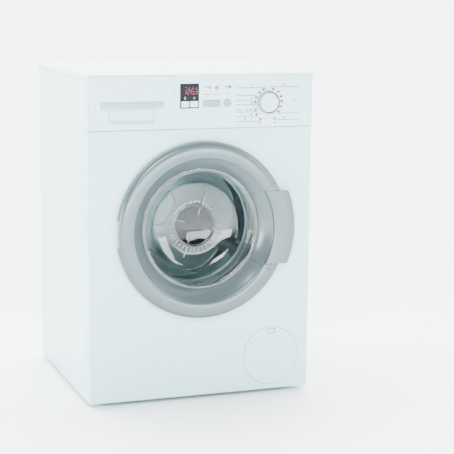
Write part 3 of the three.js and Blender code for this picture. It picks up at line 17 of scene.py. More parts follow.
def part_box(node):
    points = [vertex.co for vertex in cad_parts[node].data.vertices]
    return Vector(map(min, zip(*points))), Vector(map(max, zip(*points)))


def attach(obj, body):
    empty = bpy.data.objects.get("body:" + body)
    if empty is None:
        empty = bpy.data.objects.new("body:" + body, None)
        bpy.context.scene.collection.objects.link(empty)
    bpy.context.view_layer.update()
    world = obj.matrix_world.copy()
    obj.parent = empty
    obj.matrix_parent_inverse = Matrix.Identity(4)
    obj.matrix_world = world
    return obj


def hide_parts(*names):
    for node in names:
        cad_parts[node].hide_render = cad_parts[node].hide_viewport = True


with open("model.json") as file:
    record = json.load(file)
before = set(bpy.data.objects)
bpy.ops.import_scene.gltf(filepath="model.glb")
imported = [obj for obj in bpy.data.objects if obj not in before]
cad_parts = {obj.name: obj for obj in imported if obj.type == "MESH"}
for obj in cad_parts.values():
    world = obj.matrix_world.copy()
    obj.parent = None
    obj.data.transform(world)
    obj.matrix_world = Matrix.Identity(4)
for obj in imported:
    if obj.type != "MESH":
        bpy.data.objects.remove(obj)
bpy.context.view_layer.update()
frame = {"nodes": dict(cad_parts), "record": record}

print("parts in the frame:", len(frame["nodes"]))

# %% [markdown]
# ## Places taken from the frame
#
# The front plane, the drum's axis and the other centres are read from the parts themselves,
# so the looks follow if a size is changed there.

# %% Places
MM = 0.001


def span(node):
    """The node's corners in millimetres, with y counted from the front plane."""
    low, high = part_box(node)
    low, high = low / MM, high / MM
    return Vector((low.x, low.y - FRONT, low.z)), Vector((high.x, high.y - FRONT, high.z))


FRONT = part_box("front_panel")[0].y / MM
ring_low, ring_high = span("door_back_ring")
DOOR_Z = (ring_low.z + ring_high.z) / 2
flap_low, flap_high = span("service_flap")
FLAP_X = (flap_low.x + flap_high.x) / 2
FLAP_Z = (flap_low.z + flap_high.z) / 2
knob_low, knob_high = span("program_knob")
KNOB_X = (knob_low.x + knob_high.x) / 2
KNOB_Z = (knob_low.z + knob_high.z) / 2
panel_low, panel_high = span("front_panel")
fascia_low, fascia_high = span("control_fascia")
print("front plane", round(FRONT, 1), "door axis height", round(DOOR_Z, 1))

# %% [markdown]
# ## Shape makers
#
# A mesh is built from outlines: turned round the door's axis, carried straight through, or
# filled as a plate with rounded edges.

# %% Mesh helpers
def finish_mesh(mesh, angle=35):
    """Merges doubles, turns the faces outward and shades the mesh smoothly up to an angle."""
    work = bmesh.new()
    work.from_mesh(mesh)
    bmesh.ops.remove_doubles(work, verts=work.verts, dist=0.01 * MM)
    bmesh.ops.dissolve_degenerate(work, edges=work.edges, dist=0.005 * MM)
    bmesh.ops.recalc_face_normals(work, faces=work.faces)
    for face in work.faces:
        face.smooth = True
    work.to_mesh(mesh)
    work.free()
    mesh.set_sharp_from_angle(angle=math.radians(angle))
    return mesh


def make(name, verts, faces, angle=35):
    """A mesh from millimetre points in the front-plane frame."""
    mesh = bpy.data.meshes.new(name)
    mesh.from_pydata([(x * MM, (y + FRONT) * MM, z * MM) for x, y, z in verts], [], faces)
    return finish_mesh(mesh, angle)


def rounded(profile, radius, steps=3):
    """A closed outline whose corners are rounded, no further than a third of the next side."""
    points = []
    count = len(profile)
    for i in range(count):
        here = Vector(profile[i])
        before = Vector(profile[i - 1]) - here
        after = Vector(profile[(i + 1) % count]) - here
        a = here + before.normalized() * min(radius, before.length / 2.5)
        b = here + after.normalized() * min(radius, after.length / 2.5)
        for k in range(steps + 1):
            t = k / steps
            points.append(tuple((1 - t) ** 2 * a + 2 * t * (1 - t) * here + t * t * b))
    return points


def lathe_faces(size, count, closed):
    """Faces between the copies of a profile of so many points, set side by side round a line."""
    faces = []
    last = size if closed else size - 1
    for i in range(count):
        j = (i + 1) % count
        for k in range(last):
            m = (k + 1) % size
            faces.append((i * size + k, i * size + m, j * size + m, j * size + k))
    return faces


def turned(name, profile, count=144, x=0.0, z=None, closed=True, angle=35):
    """A profile of (radius, y) turned about a line along y."""
    z = DOOR_Z if z is None else z
    verts = []
    for i in range(count):
        turn = 2 * math.pi * i / count
        s, c = math.sin(turn), math.cos(turn)
        verts += [(x + r * s, y, z + r * c) for r, y in profile]
    return make(name, verts, lathe_faces(len(profile), count, closed), angle)


def upright(name, profile, count, x, y):
    """A profile of (radius, z) turned about an upright line."""
    verts = []
    for i in range(count):
        turn = 2 * math.pi * i / count
        verts += [(x + r * math.cos(turn), y + r * math.sin(turn), z) for r, z in profile]
    return make(name, verts, lathe_faces(len(profile), count, False))


def circle(radius, count, x=0.0, z=0.0, start=0.0, sweep=360.0):
    """Points round a circle, or along an arc when the sweep is short of a full turn."""
    whole = abs(sweep) >= 360
    steps = count if whole else count + 1
    points = []
    for i in range(steps):
        turn = math.radians(start + sweep * i / count)
        points.append((x + radius * math.cos(turn), z + radius * math.sin(turn)))
    return points


def oblong(x0, x1, z0, z1, radius, steps=6):
    """A rectangle with round corners."""
    points = []
    for cx, cz, start in ((x1 - radius, z0 + radius, -90), (x1 - radius, z1 - radius, 0),
                          (x0 + radius, z1 - radius, 90), (x0 + radius, z0 + radius, 180)):
        points += circle(radius, steps, cx, cz, start, 90)
    return points


def arc_band(radius, width, start, sweep, x, z, count=72):
    """The outline of a curved bar."""
    outer = circle(radius + width / 2, count, x, z, start, sweep)
    inner = circle(radius - width / 2, count, x, z, start, sweep)
    return outer + inner[::-1]


def curve_mesh(name, loops, depth, edge):
    """A filled flat curve carried through a depth, its rims rounded by edge."""
    curve = bpy.data.curves.new(name, "CURVE")
    curve.dimensions = "2D"
    curve.fill_mode = "BOTH"
    for loop in loops:
        spline = curve.splines.new("POLY")
        spline.points.add(len(loop) - 1)
        for point, (a, b) in zip(spline.points, loop):
            point.co = (a * MM, b * MM, 0, 1)
        spline.use_cyclic_u = True
    curve.extrude = max(depth / 2 - edge, 0.0) * MM
    curve.bevel_depth = edge * MM
    curve.bevel_resolution = 2
    curve.offset = -edge * MM
    holder = bpy.data.objects.new(name, curve)
    bpy.context.scene.collection.objects.link(holder)
    graph = bpy.context.evaluated_depsgraph_get()
    mesh = bpy.data.meshes.new_from_object(holder.evaluated_get(graph))
    bpy.data.objects.remove(holder)
    bpy.data.curves.remove(curve)
    return mesh


def plate(name, loops, y0, y1, edge=0.3, angle=35):
    """A flat plate standing in the front plane's direction, from y0 back to y1."""
    mesh = curve_mesh(name, loops, y1 - y0, edge)
    middle = ((y0 + y1) / 2 + FRONT) * MM
    mesh.transform(Matrix.Translation((0, middle, 0)) @ Matrix.Rotation(math.pi / 2, 4, "X"))
    return finish_mesh(mesh, angle)


def slab(name, loops, z0, z1, edge):
    """A flat plate lying level, from z0 up to z1."""
    mesh = curve_mesh(name, loops, z1 - z0, edge)
    mesh.transform(Matrix.Translation((0, FRONT * MM, (z0 + z1) / 2 * MM)))
    return finish_mesh(mesh)


def box_cage(x0, x1, y0, y1, z0, z1):
    """The eight corners and six faces of a box, ready to be worked on."""
    work = bmesh.new()
    bmesh.ops.create_cube(work, size=1.0)
    for vert in work.verts:
        vert.co.x = ((x0 + x1) / 2 + vert.co.x * (x1 - x0)) * MM
        vert.co.y = ((y0 + y1) / 2 + vert.co.y * (y1 - y0) + FRONT) * MM
        vert.co.z = ((z0 + z1) / 2 + vert.co.z * (z1 - z0)) * MM
    return work


def block(name, x0, x1, y0, y1, z0, z1, radius=0.4, segments=3):
    """A box whose edges are all rounded."""
    work = box_cage(x0, x1, y0, y1, z0, z1)
    if radius > 0:
        bmesh.ops.bevel(work, geom=list(work.edges), offset=radius * MM, segments=segments,
                        profile=0.5, affect="EDGES", clamp_overlap=True)
    mesh = bpy.data.meshes.new(name)
    work.to_mesh(mesh)
    work.free()
    return finish_mesh(mesh)


def pan(name, x0, x1, y0, y1, z0, z1, radius, wall):
    """A shallow sheet pan that is open at the back: rounded front rims and an even wall."""
    work = box_cage(x0, x1, y0, y1, z0, z1)
    back = (y1 + FRONT - 0.01) * MM
    rims = [e for e in work.edges if not all(v.co.y > back for v in e.verts)]
    bmesh.ops.bevel(work, geom=rims, offset=radius * MM, segments=5, profile=0.5,
                    affect="EDGES", clamp_overlap=True)
    rear = [f for f in work.faces if all(v.co.y > back for v in f.verts)]
    bmesh.ops.delete(work, geom=rear, context="FACES")
    bmesh.ops.recalc_face_normals(work, faces=work.faces)
    if sum(f.calc_area() * f.normal.y for f in work.faces) > 0:
        bmesh.ops.reverse_faces(work, faces=work.faces)
    mesh = bpy.data.meshes.new(name)
    work.to_mesh(mesh)
    work.free()
    holder = bpy.data.objects.new(name, mesh)
    bpy.context.scene.collection.objects.link(holder)
    solidify = holder.modifiers.new("wall", "SOLIDIFY")
    solidify.thickness = wall * MM
    solidify.offset = -1
    solidify.use_even_offset = True
    return take(holder)


def take(holder, angle=35):
    """Applies an object's modifiers and returns its mesh, removing the object."""
    graph = bpy.context.evaluated_depsgraph_get()
    mesh = bpy.data.meshes.new_from_object(holder.evaluated_get(graph))
    bpy.data.objects.remove(holder)
    return finish_mesh(mesh, angle)


def combine(mesh, tool, operation="DIFFERENCE", angle=35):
    """Cuts, joins or keeps the shared part of two meshes."""
    first = bpy.data.objects.new("first", mesh)
    second = bpy.data.objects.new("second", tool)
    for item in (first, second):
        bpy.context.scene.collection.objects.link(item)
    cutter = first.modifiers.new("cut", "BOOLEAN")
    cutter.object = second
    cutter.operation = operation
    cutter.solver = "EXACT"
    result = take(first, angle)
    bpy.data.objects.remove(second)
    return result


def eased(mesh, width, segments=2, angle=40):
    """Softens the sharp edges of a mesh by a small width."""
    holder = bpy.data.objects.new("eased", mesh)
    bpy.context.scene.collection.objects.link(holder)
    bevel = holder.modifiers.new("ease", "BEVEL")
    bevel.width = width * MM
    bevel.segments = segments
    bevel.limit_method = "ANGLE"
    bevel.angle_limit = math.radians(angle)
    bevel.use_clamp_overlap = True
    return take(holder)


def joined(name, meshes, angle=35):
    """Several meshes as one, without merging them where they cross."""
    work = bmesh.new()
    for mesh in meshes:
        work.from_mesh(mesh)
    mesh = bpy.data.meshes.new(name)
    work.to_mesh(mesh)
    work.free()
    mesh.set_sharp_from_angle(angle=math.radians(angle))
    return mesh


def spun(mesh, degrees, x, z):
    """Turns a mesh about a line along y through x, z."""
    centre = Vector((x * MM, 0, z * MM))
    turn = Matrix.Rotation(math.radians(degrees), 4, "Y")
    mesh.transform(Matrix.Translation(centre) @ turn @ Matrix.Translation(-centre))
    return mesh


def bar(name, x, z, radius, y0, y1, count, edge):
    """A short round bar along y with eased rims."""
    return plate(name, [circle(radius, count, x, z)], y0, y1, edge)


PRINT_BOLD = 0.42   # how far a letter's outline is fattened
PRINT_DEPTH = 0.12  # how thick printed letters are


def lettering(name, text, x, z, size, y0):
    """Small raised print on the front, centred at x, z."""
    curve = bpy.data.curves.new(name, "FONT")
    curve.body = text
    curve.offset = PRINT_BOLD * MM
    curve.size = size * MM
    curve.align_x = "CENTER"
    curve.align_y = "CENTER"
    curve.extrude = PRINT_DEPTH / 2 * MM
    curve.resolution_u = 3
    holder = bpy.data.objects.new(name, curve)
    bpy.context.scene.collection.objects.link(holder)
    graph = bpy.context.evaluated_depsgraph_get()
    mesh = bpy.data.meshes.new_from_object(holder.evaluated_get(graph))
    bpy.data.objects.remove(holder)
    place = Matrix.Translation((x * MM, (y0 + FRONT) * MM, z * MM))
    mesh.transform(place @ Matrix.Rotation(math.pi / 2, 4, "X"))
    return finish_mesh(mesh)


print("shape makers ready")

# %% [markdown]
# ## Finishes
#
# Three shared groups hold the effects: patches and worn edges, fine bumps, and drawn-metal
# streaks. Each finish mixes them with its own colours.

# %% Shared effect groups
def linear(value):
    """One screen colour channel as light."""
    return value / 12.92 if value <= 0.04045 else ((value + 0.055) / 1.055) ** 2.4


def tone(r, g, b):
    return (linear(r / 255), linear(g / 255), linear(b / 255), 1.0)


def new_group(name, inputs, outputs):
    tree = bpy.data.node_groups.new(name, "ShaderNodeTree")
    for kind, label, value in inputs:
        item = tree.interface.new_socket(label, in_out="INPUT", socket_type=kind)
        if value is not None:
            item.default_value = value
    for kind, label in outputs:
        tree.interface.new_socket(label, in_out="OUTPUT", socket_type=kind)
    return tree, tree.nodes.new("NodeGroupInput"), tree.nodes.new("NodeGroupOutput")


def add(tree, kind, settings=None, **inputs):
    """A node with settings; an input given as a socket is linked, any other is set."""
    item = tree.nodes.new(kind)
    for key, value in (settings or {}).items():
        setattr(item, key, value)
    for key, value in inputs.items():
        socket = item.inputs[int(key[1:])] if key[0] == "i" and key[1:].isdigit() else item.inputs[key]
        if isinstance(value, bpy.types.NodeSocket):
            tree.links.new(value, socket)
        else:
            socket.default_value = value
    return item


def wear_group():
    tree, start, end = new_group(
        "Patches and wear",
        [("NodeSocketVector", "Vector", None), ("NodeSocketFloat", "Scale", 20.0),
         ("NodeSocketFloat", "Wear", 0.3)],
        [("NodeSocketFloat", "Patch"), ("NodeSocketFloat", "Edge"), ("NodeSocketFloat", "Speck")])
    broad = add(tree, "ShaderNodeTexNoise", Vector=start.outputs["Vector"],
                Scale=start.outputs["Scale"], Detail=5.0, Roughness=0.6)
    fine = add(tree, "ShaderNodeTexNoise", Vector=start.outputs["Vector"], Scale=900.0, Detail=3.0)
    cells = add(tree, "ShaderNodeTexVoronoi", Vector=start.outputs["Vector"], Scale=700.0)
    shape = tree.nodes.new("ShaderNodeNewGeometry")
    ridge = add(tree, "ShaderNodeMapRange", i0=shape.outputs["Pointiness"], i1=0.51, i2=0.60)
    broken = add(tree, "ShaderNodeMath", {"operation": "MULTIPLY"},
                 i0=ridge.outputs[0], i1=fine.outputs[0])
    worn = add(tree, "ShaderNodeMath", {"operation": "MULTIPLY", "use_clamp": True},
               i0=broken.outputs[0], i1=start.outputs["Wear"])
    speck = add(tree, "ShaderNodeMapRange", i0=cells.outputs["Distance"], i1=0.05, i2=0.12,
                i3=1.0, i4=0.0)
    tree.links.new(broad.outputs[0], end.inputs["Patch"])
    tree.links.new(worn.outputs[0], end.inputs["Edge"])
    tree.links.new(speck.outputs[0], end.inputs["Speck"])
    return tree


def bump_group():
    tree, start, end = new_group(
        "Fine bumps",
        [("NodeSocketVector", "Vector", None), ("NodeSocketFloat", "Grain", 1500.0),
         ("NodeSocketFloat", "Strength", 0.05), ("NodeSocketFloat", "Wave", 8.0),
         ("NodeSocketFloat", "Wave strength", 0.02)],
        [("NodeSocketVector", "Normal")])
    grain = add(tree, "ShaderNodeTexNoise", Vector=start.outputs["Vector"],
                Scale=start.outputs["Grain"], Detail=2.0)
    wave = add(tree, "ShaderNodeTexNoise", Vector=start.outputs["Vector"],
               Scale=start.outputs["Wave"], Detail=2.0)
    low = add(tree, "ShaderNodeBump", Strength=start.outputs["Wave strength"], Distance=0.004,
              Height=wave.outputs[0])
    high = add(tree, "ShaderNodeBump", Strength=start.outputs["Strength"], Distance=0.0003,
               Height=grain.outputs[0], Normal=low.outputs[0])
    tree.links.new(high.outputs[0], end.inputs["Normal"])
    return tree


def streak_group():
    tree, start, end = new_group(
        "Drawn streaks",
        [("NodeSocketVector", "Vector", None), ("NodeSocketVector", "Stretch", (900.0, 900.0, 9.0))],
        [("NodeSocketFloat", "Value")])
    place = add(tree, "ShaderNodeMapping", Vector=start.outputs["Vector"], Scale=start.outputs["Stretch"])
    lines = add(tree, "ShaderNodeTexNoise", Vector=place.outputs[0], Scale=1.0, Detail=4.0)
    tree.links.new(lines.outputs[0], end.inputs["Value"])
    return tree


WEAR, BUMPS, STREAKS = wear_group(), bump_group(), streak_group()
print("effect groups:", WEAR.name, "/", BUMPS.name, "/", STREAKS.name)


# %% The finish maker
def finish(name, base, other=None, rough=(0.3, 0.4), metal=0.0, wear=0.3, edge=None, patch=20.0,
           grain=(1500.0, 0.05), wave=(8.0, 0.02), speck=0.0, streak=None, **extra):
    """One finish: base and other colours in patches, worn edges, grain and roughness variation."""
    material = bpy.data.materials.new(name)
    material.use_nodes = True
    tree = material.node_tree
    shader = tree.nodes["Principled BSDF"]
    where = tree.nodes.new("ShaderNodeTexCoord")
    spot = where.outputs["Object"]
    effects = add(tree, "ShaderNodeGroup", {"node_tree": WEAR}, Vector=spot, Scale=patch, Wear=wear)
    other = other or tuple(c * 0.93 for c in base[:3]) + (1.0,)
    edge = edge or tuple(min(c * 1.15, 1.0) for c in base[:3]) + (1.0,)
    spread = add(tree, "ShaderNodeMapRange", i0=effects.outputs["Patch"], i1=0.35, i2=0.65)
    colour = add(tree, "ShaderNodeMix", {"data_type": "RGBA"}, i0=spread.outputs[0], i6=base, i7=other)
    worn = add(tree, "ShaderNodeMix", {"data_type": "RGBA"}, i0=effects.outputs["Edge"],
               i6=colour.outputs[2], i7=edge)
    last = worn
    if speck:
        amount = add(tree, "ShaderNodeMath", {"operation": "MULTIPLY"},
                     i0=effects.outputs["Speck"], i1=speck)
        dark = tuple(c * 0.55 for c in base[:3]) + (1.0,)
        last = add(tree, "ShaderNodeMix", {"data_type": "RGBA"}, i0=amount.outputs[0],
                   i6=worn.outputs[2], i7=dark)
    tree.links.new(last.outputs[2], shader.inputs["Base Color"])
    gloss = add(tree, "ShaderNodeMapRange", i0=effects.outputs["Patch"], i1=0.3, i2=0.7,
                i3=rough[0], i4=rough[1])
    rough_out = gloss.outputs[0]
    if streak:
        lines = add(tree, "ShaderNodeGroup", {"node_tree": STREAKS}, Vector=spot, Stretch=streak)
        blend = add(tree, "ShaderNodeMath", {"operation": "MULTIPLY_ADD"}, i0=lines.outputs[0],
                    i1=0.25, i2=gloss.outputs[0])
        rough_out = blend.outputs[0]
    tree.links.new(rough_out, shader.inputs["Roughness"])
    bumps = add(tree, "ShaderNodeGroup", {"node_tree": BUMPS}, Vector=spot, Grain=grain[0],
                Strength=grain[1], Wave=wave[0])
    bumps.inputs["Wave strength"].default_value = wave[1]
    tree.links.new(bumps.outputs[0], shader.inputs["Normal"])
    shader.inputs["Metallic"].default_value = metal
    for key, value in extra.items():
        shader.inputs[key.replace("_", " ")].default_value = value
    return material


ENAMEL = finish("white_enamel", tone(180, 216, 223), tone(176, 212, 219), (0.26, 0.34), wear=0.2,
                grain=(1100, 0.06), wave=(5, 0.03), Coat_Weight=0.25, Coat_Roughness=0.15)
WHITE = finish("white_moulding", tone(188, 218, 224), tone(184, 214, 220), (0.36, 0.45), wear=0.15,
               grain=(1900, 0.07))
SILVER = finish("silver_moulding", tone(78, 92, 96), tone(75, 89, 93), (0.20, 0.24), metal=0.35,
                wear=0.25, grain=(2300, 0.02), wave=(3, 0.003), Coat_Weight=0.25, Coat_Roughness=0.08)
GREY = finish("grey_moulding", tone(132, 140, 143), tone(120, 128, 131), (0.45, 0.6), grain=(1300, 0.12))
TUB_GREY = finish("filled_moulding", tone(150, 154, 154), tone(138, 143, 143), (0.5, 0.65), speck=0.2,
                  grain=(700, 0.2))
DARK = finish("dark_moulding", tone(46, 49, 51), tone(38, 41, 43), (0.42, 0.55), wear=0.4,
              edge=tone(90, 94, 96), grain=(1500, 0.15))
SMOKED = finish("smoked_window", tone(14, 19, 22), tone(10, 15, 18), (0.3, 0.36), wear=0.1,
                grain=(2500, 0.02), Specular_IOR_Level=0.12)
STAINLESS = finish("stainless", tone(168, 182, 186), tone(158, 172, 176), (0.20, 0.28), metal=0.85,
                   wear=0.2, grain=(2000, 0.04), streak=(20.0, 900.0, 20.0))
GALVANISED = finish("galvanised_sheet", tone(168, 174, 176), tone(150, 157, 160), (0.32, 0.5), metal=0.9,
                    patch=60.0, speck=0.15, grain=(900, 0.1))
CAST = finish("cast_alloy", tone(150, 154, 156), tone(138, 142, 144), (0.42, 0.56), metal=0.85,
              speck=0.3, grain=(500, 0.35))
SEAL = finish("grey_rubber", tone(84, 93, 96), tone(76, 85, 88), (0.55, 0.7), grain=(800, 0.15))
BLACK = finish("black_rubber", tone(30, 32, 33), tone(24, 26, 27), (0.6, 0.78), edge=tone(70, 72, 74),
               grain=(700, 0.25))
CONCRETE = finish("cast_concrete", tone(142, 140, 134), tone(120, 118, 112), (0.85, 0.95), patch=40.0,
                  speck=0.6, grain=(260, 0.8), wave=(40, 0.2))
BOARD = finish("green_board", tone(34, 96, 64), tone(28, 84, 56), (0.3, 0.4), patch=120.0, speck=0.3)
PRINT = finish("dark_print", tone(6, 9, 11), tone(9, 12, 14), (0.5, 0.6), wear=0.1, Specular_IOR_Level=0.2)
# Dark line print for the legend rules; the same finish is also used as painted shade in the gap round the
# service flap's finger catch.
LINE = finish("print_and_gap_shade", tone(34, 44, 48), tone(30, 40, 44), (0.5, 0.6), wear=0.1)
PALE_PRINT = finish("pale_print", tone(138, 152, 157), tone(130, 144, 149), (0.5, 0.6), wear=0.1)
RED = finish("red_print", tone(176, 18, 34), tone(168, 14, 30), (0.4, 0.5), wear=0.1)
LIGHT = finish("lit_segments", tone(220, 90, 100), tone(214, 84, 94), (0.4, 0.5), wear=0.0,
               Emission_Color=tone(214, 96, 104), Emission_Strength=0.3)
PALE = finish("pale_key", tone(126, 146, 152), tone(120, 140, 146), (0.4, 0.48), wear=0.15)
GRIP = finish("grip_insert", tone(138, 162, 176), tone(132, 156, 170), (0.3, 0.38), metal=0.1,
              grain=(2100, 0.05))
THREAD = finish("zinc_screw", tone(176, 180, 180), tone(160, 164, 164), (0.25, 0.4), metal=1.0, wear=0.5,
                speck=0.2)
LAMINATE = finish("top_laminate", tone(228, 236, 237), tone(222, 231, 232), (0.4, 0.55), patch=35.0,
                  grain=(650, 0.3), speck=0.05)


def glass_finish(name, light, dark):
    """Clear pressed glass with a faint tint, waves and smears."""
    material = bpy.data.materials.new(name)
    material.use_nodes = True
    tree = material.node_tree
    shader = tree.nodes["Principled BSDF"]
    where = tree.nodes.new("ShaderNodeTexCoord")
    spot = where.outputs["Object"]
    effects = add(tree, "ShaderNodeGroup", {"node_tree": WEAR}, Vector=spot, Scale=14.0, Wear=0.2)
    tint = add(tree, "ShaderNodeMix", {"data_type": "RGBA"}, i0=effects.outputs["Patch"],
               i6=light, i7=dark)
    smear = add(tree, "ShaderNodeMapRange", i0=effects.outputs["Patch"], i1=0.4, i2=0.75, i3=0.01, i4=0.06)
    bumps = add(tree, "ShaderNodeGroup", {"node_tree": BUMPS}, Vector=spot, Grain=60.0, Strength=0.10,
                Wave=16.0)
    bumps.inputs["Wave strength"].default_value = 0.16
    tree.links.new(tint.outputs[2], shader.inputs["Base Color"])
    tree.links.new(smear.outputs[0], shader.inputs["Roughness"])
    tree.links.new(bumps.outputs[0], shader.inputs["Normal"])
    shader.inputs["Metallic"].default_value = 0.0
    shader.inputs["Transmission Weight"].default_value = 1.0
    shader.inputs["IOR"].default_value = 1.5
    return material


GLASS = glass_finish("pressed_glass", tone(226, 238, 238), tone(212, 228, 228))
FROSTED = finish("frosted_ribs", tone(196, 210, 212), tone(186, 200, 203), (0.12, 0.2), wear=0.1,
                 Transmission_Weight=0.35)
# Darkened glass for the bowl's centre: painted shade that stands for the darker reflection in the bowl's
# deep, mirror-like middle.
GLASS_PAINTED_SHADE = glass_finish("glass_with_painted_shade", tone(84, 98, 102), tone(76, 90, 94))
print("finishes:", len(bpy.data.materials))

# %% [markdown]
# ## Putting a piece in the scene

# %% The piece maker
made = []


def piece(name, mesh, material, body, replaces=()):
    """Adds a finished mesh that rides on a body and may stand for nodes of the frame."""
    mesh.materials.clear()
    mesh.materials.append(material)
    item = bpy.data.objects.new(name, mesh)
    bpy.context.scene.collection.objects.link(item)
    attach(item, body)
    if replaces:
        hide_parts(*replaces)
    made.append(item)
    return item


# %% [markdown]
# ## Front sheet
#
# A pressed pan with rounded rims, a dished mouth for the door and a collared hole for the
# service flap.

# %% Front sheet
MOUTH = 184.8            # radius of the door opening where the dish begins
FLAP_HOLE = 78.0         # radius of the hole behind the service flap
CATCH_SLOT = (196, 215)  # where the door's hook enters, left and right edge
CUT = (-8, 12)           # how far the cutting shapes reach, front and back


def front_sheet():
    mesh = pan("front_sheet", panel_low.x, panel_high.x, 0, panel_high.y, panel_low.z, panel_high.z,
               3.2, 1.4)
    mesh = combine(mesh, plate("mouth", [circle(MOUTH, 160, 0, DOOR_Z)], *CUT, 0))
    mesh = combine(mesh, plate("hole", [circle(FLAP_HOLE, 96, FLAP_X, FLAP_Z)], *CUT, 0))
    mesh = combine(mesh, block("slot", *CATCH_SLOT, *CUT, DOOR_Z - 9, DOOR_Z + 9, 0))
    dish = turned("dish", [(185.2, 0.6), (184.6, 0.1), (183.2, 0.9), (180.6, 4.0), (174.0, 15.0),
                           (171.6, 20.0), (171.0, 25.8), (172.4, 25.8), (173.1, 20.4), (175.4, 15.6),
                           (182.0, 4.8), (184.6, 1.6)])
    collar = turned("collar", [(FLAP_HOLE + 0.1, 0.7), (FLAP_HOLE, 13.5), (FLAP_HOLE + 1.3, 13.5),
                               (FLAP_HOLE + 1.3, 0.9)], 96, FLAP_X, FLAP_Z)
    return joined("front_sheet", [mesh, dish, collar])


piece("front_sheet", front_sheet(), ENAMEL, "cabinet", ["front_panel"])
print("front sheet done")

# %% [markdown]
# ## Control fascia
#
# The fascia stands a little proud, with a softly rounded crown that catches the light.

# %% Fascia
FACE = fascia_low.y
drawer_low, drawer_high = span("drawer_front")
display_low, display_high = span("display_window")
option_low, option_high = span("option_button")
start_low, start_high = span("start_button")
START_X, START_Z = (start_low.x + start_high.x) / 2, (start_low.z + start_high.z) / 2
top_low, top_high = span("top_cover")


THROUGH = (-20, 24)  # how far the shapes that cut the fascia reach, front and back


def window_tool(low, high, gap):
    """A block that cuts an opening round a piece, with a gap to it."""
    return block("window", low.x - gap, high.x + gap, *THROUGH, low.z - gap, high.z + gap, 0)


def fascia():
    mesh = pan("fascia", fascia_low.x, fascia_high.x, FACE, fascia_high.y, fascia_low.z, fascia_high.z,
               4.0, 2.4)
    mesh = combine(mesh, block("step", -310, 310, top_low.y - 0.3, 40, top_low.z - 0.3, 870, 0))
    cuts = [
        window_tool(drawer_low, drawer_high, 0.5),
        window_tool(display_low, display_high, 0.4),
        window_tool(option_low, option_high, 0.5),
        plate("start_hole", [circle(10.6, 40, START_X, START_Z)], *THROUGH, 0),
        plate("dial_hole", [circle(5.2, 24, KNOB_X, KNOB_Z)], *THROUGH, 0),
    ]
    for cut in cuts:
        mesh = combine(mesh, cut)
    return eased(mesh, 0.35)


piece("fascia", fascia(), WHITE, "cabinet", ["control_fascia"])


def bezel():
    x0, x1, z0, z1 = display_low.x, display_high.x, display_low.z, display_high.z
    return plate("display_bezel", [oblong(x0 - 3.4, x1 + 3.4, z0 - 3.4, z1 + 3.4, 2.2),
                                   oblong(x0 + 0.2, x1 - 0.2, z0 + 0.2, z1 - 0.2, 0.8)],
                 FACE - 0.8, FACE + 0.2, 0.35)


piece("display_bezel", bezel(), WHITE, "cabinet")
print("fascia face at", round(FACE, 2))

# %% Display window, digits and marks
left_low, left_high = span("display_button_left")
right_low, right_high = span("display_button_right")


def display_pane():
    loops = [oblong(display_low.x, display_high.x, display_low.z, display_high.z, 0.8)]
    for low, high in ((left_low, left_high), (right_low, right_high)):
        loops.append(oblong(low.x - 0.4, high.x + 0.4, low.z - 0.4, high.z + 0.4, 1.0))
    return plate("display_pane", loops, FACE, FACE + 1.6, 0.2)


piece("display_pane", display_pane(), SMOKED, "cabinet", ["display_window"])

SEGMENTS = {  # which of the seven bars each digit lights
    "1": "bc", "2": "abged", "3": "abgcd", "5": "afgcd",
}


def digit(text, x, z, width, height, bar_width):
    """The lit bars of one seven-bar digit whose lower left corner is at x, z."""
    half = height / 2
    slots = {
        "a": (x, x + width, z + height - bar_width, z + height),
        "g": (x, x + width, z + half - bar_width / 2, z + half + bar_width / 2),
        "d": (x, x + width, z, z + bar_width),
        "f": (x, x + bar_width, z + half, z + height),
        "b": (x + width - bar_width, x + width, z + half, z + height),
        "e": (x, x + bar_width, z, z + half),
        "c": (x + width - bar_width, x + width, z, z + half),
    }
    gap = 0.25
    bars = []
    for key in SEGMENTS[text]:
        x0, x1, z0, z1 = slots[key]
        bars.append(plate("bar", [oblong(x0 + gap, x1 - gap, z0 + gap, z1 - gap, 0.45, 2)],
                          FACE - 0.15, FACE + 0.05, 0.04))
    return bars


def clock():
    z, height, width, bar_width = display_low.z + 36.0, 13.5, 6.2, 0.85
    bars = []
    for text, x in (("1", -51.5), ("2", -42.6), ("5", -30.8), ("3", -21.9)):
        bars += digit(text, x, z, width, height, bar_width)
    for dz in (3.6, 8.6):
        bars.append(plate("dot", [circle(0.9, 12, -33.1, z + dz)], FACE - 0.15, FACE + 0.05, 0.04))
    return joined("clock_digits", bars)


piece("clock_digits", clock(), LIGHT, "cabinet")


def window_marks():
    z = display_low.z
    marks = [
        plate("m", [oblong(-50.5, -46.0, z + 23.6, z + 27.4, 0.6, 2)], FACE - 0.12, FACE + 0.05, 0.03),
        plate("m", [circle(1.0, 12, -48.2, z + 29.2)], FACE - 0.12, FACE + 0.05, 0.03),
        plate("m", [arc_band(2.3, 0.8, 20, 300, -23.5, z + 25.8, 24)], FACE - 0.12, FACE + 0.05, 0.03),
        plate("m", [oblong(-23.9, -23.1, z + 25.4, z + 29.4, 0.3, 2)], FACE - 0.12, FACE + 0.05, 0.03),
    ]
    for x in (-46, -36, -27, -18):
        marks.append(plate("m", [circle(0.7, 10, x, z + 53.5)], FACE - 0.12, FACE + 0.05, 0.03))
    return joined("window_marks", marks)


piece("window_marks", window_marks(), PALE_PRINT, "cabinet")
print("display done")


# %% Push buttons
KEY_THICK = 3.2  # front to back
STEM_HALF = 3    # half the side of a key's square stem


def key_stem(x, z, y0, y1):
    """The square stem that carries a key through the fascia."""
    return block("stem", x - STEM_HALF, x + STEM_HALF, y0, y1, z - STEM_HALF, z + STEM_HALF, 0.3, 1)


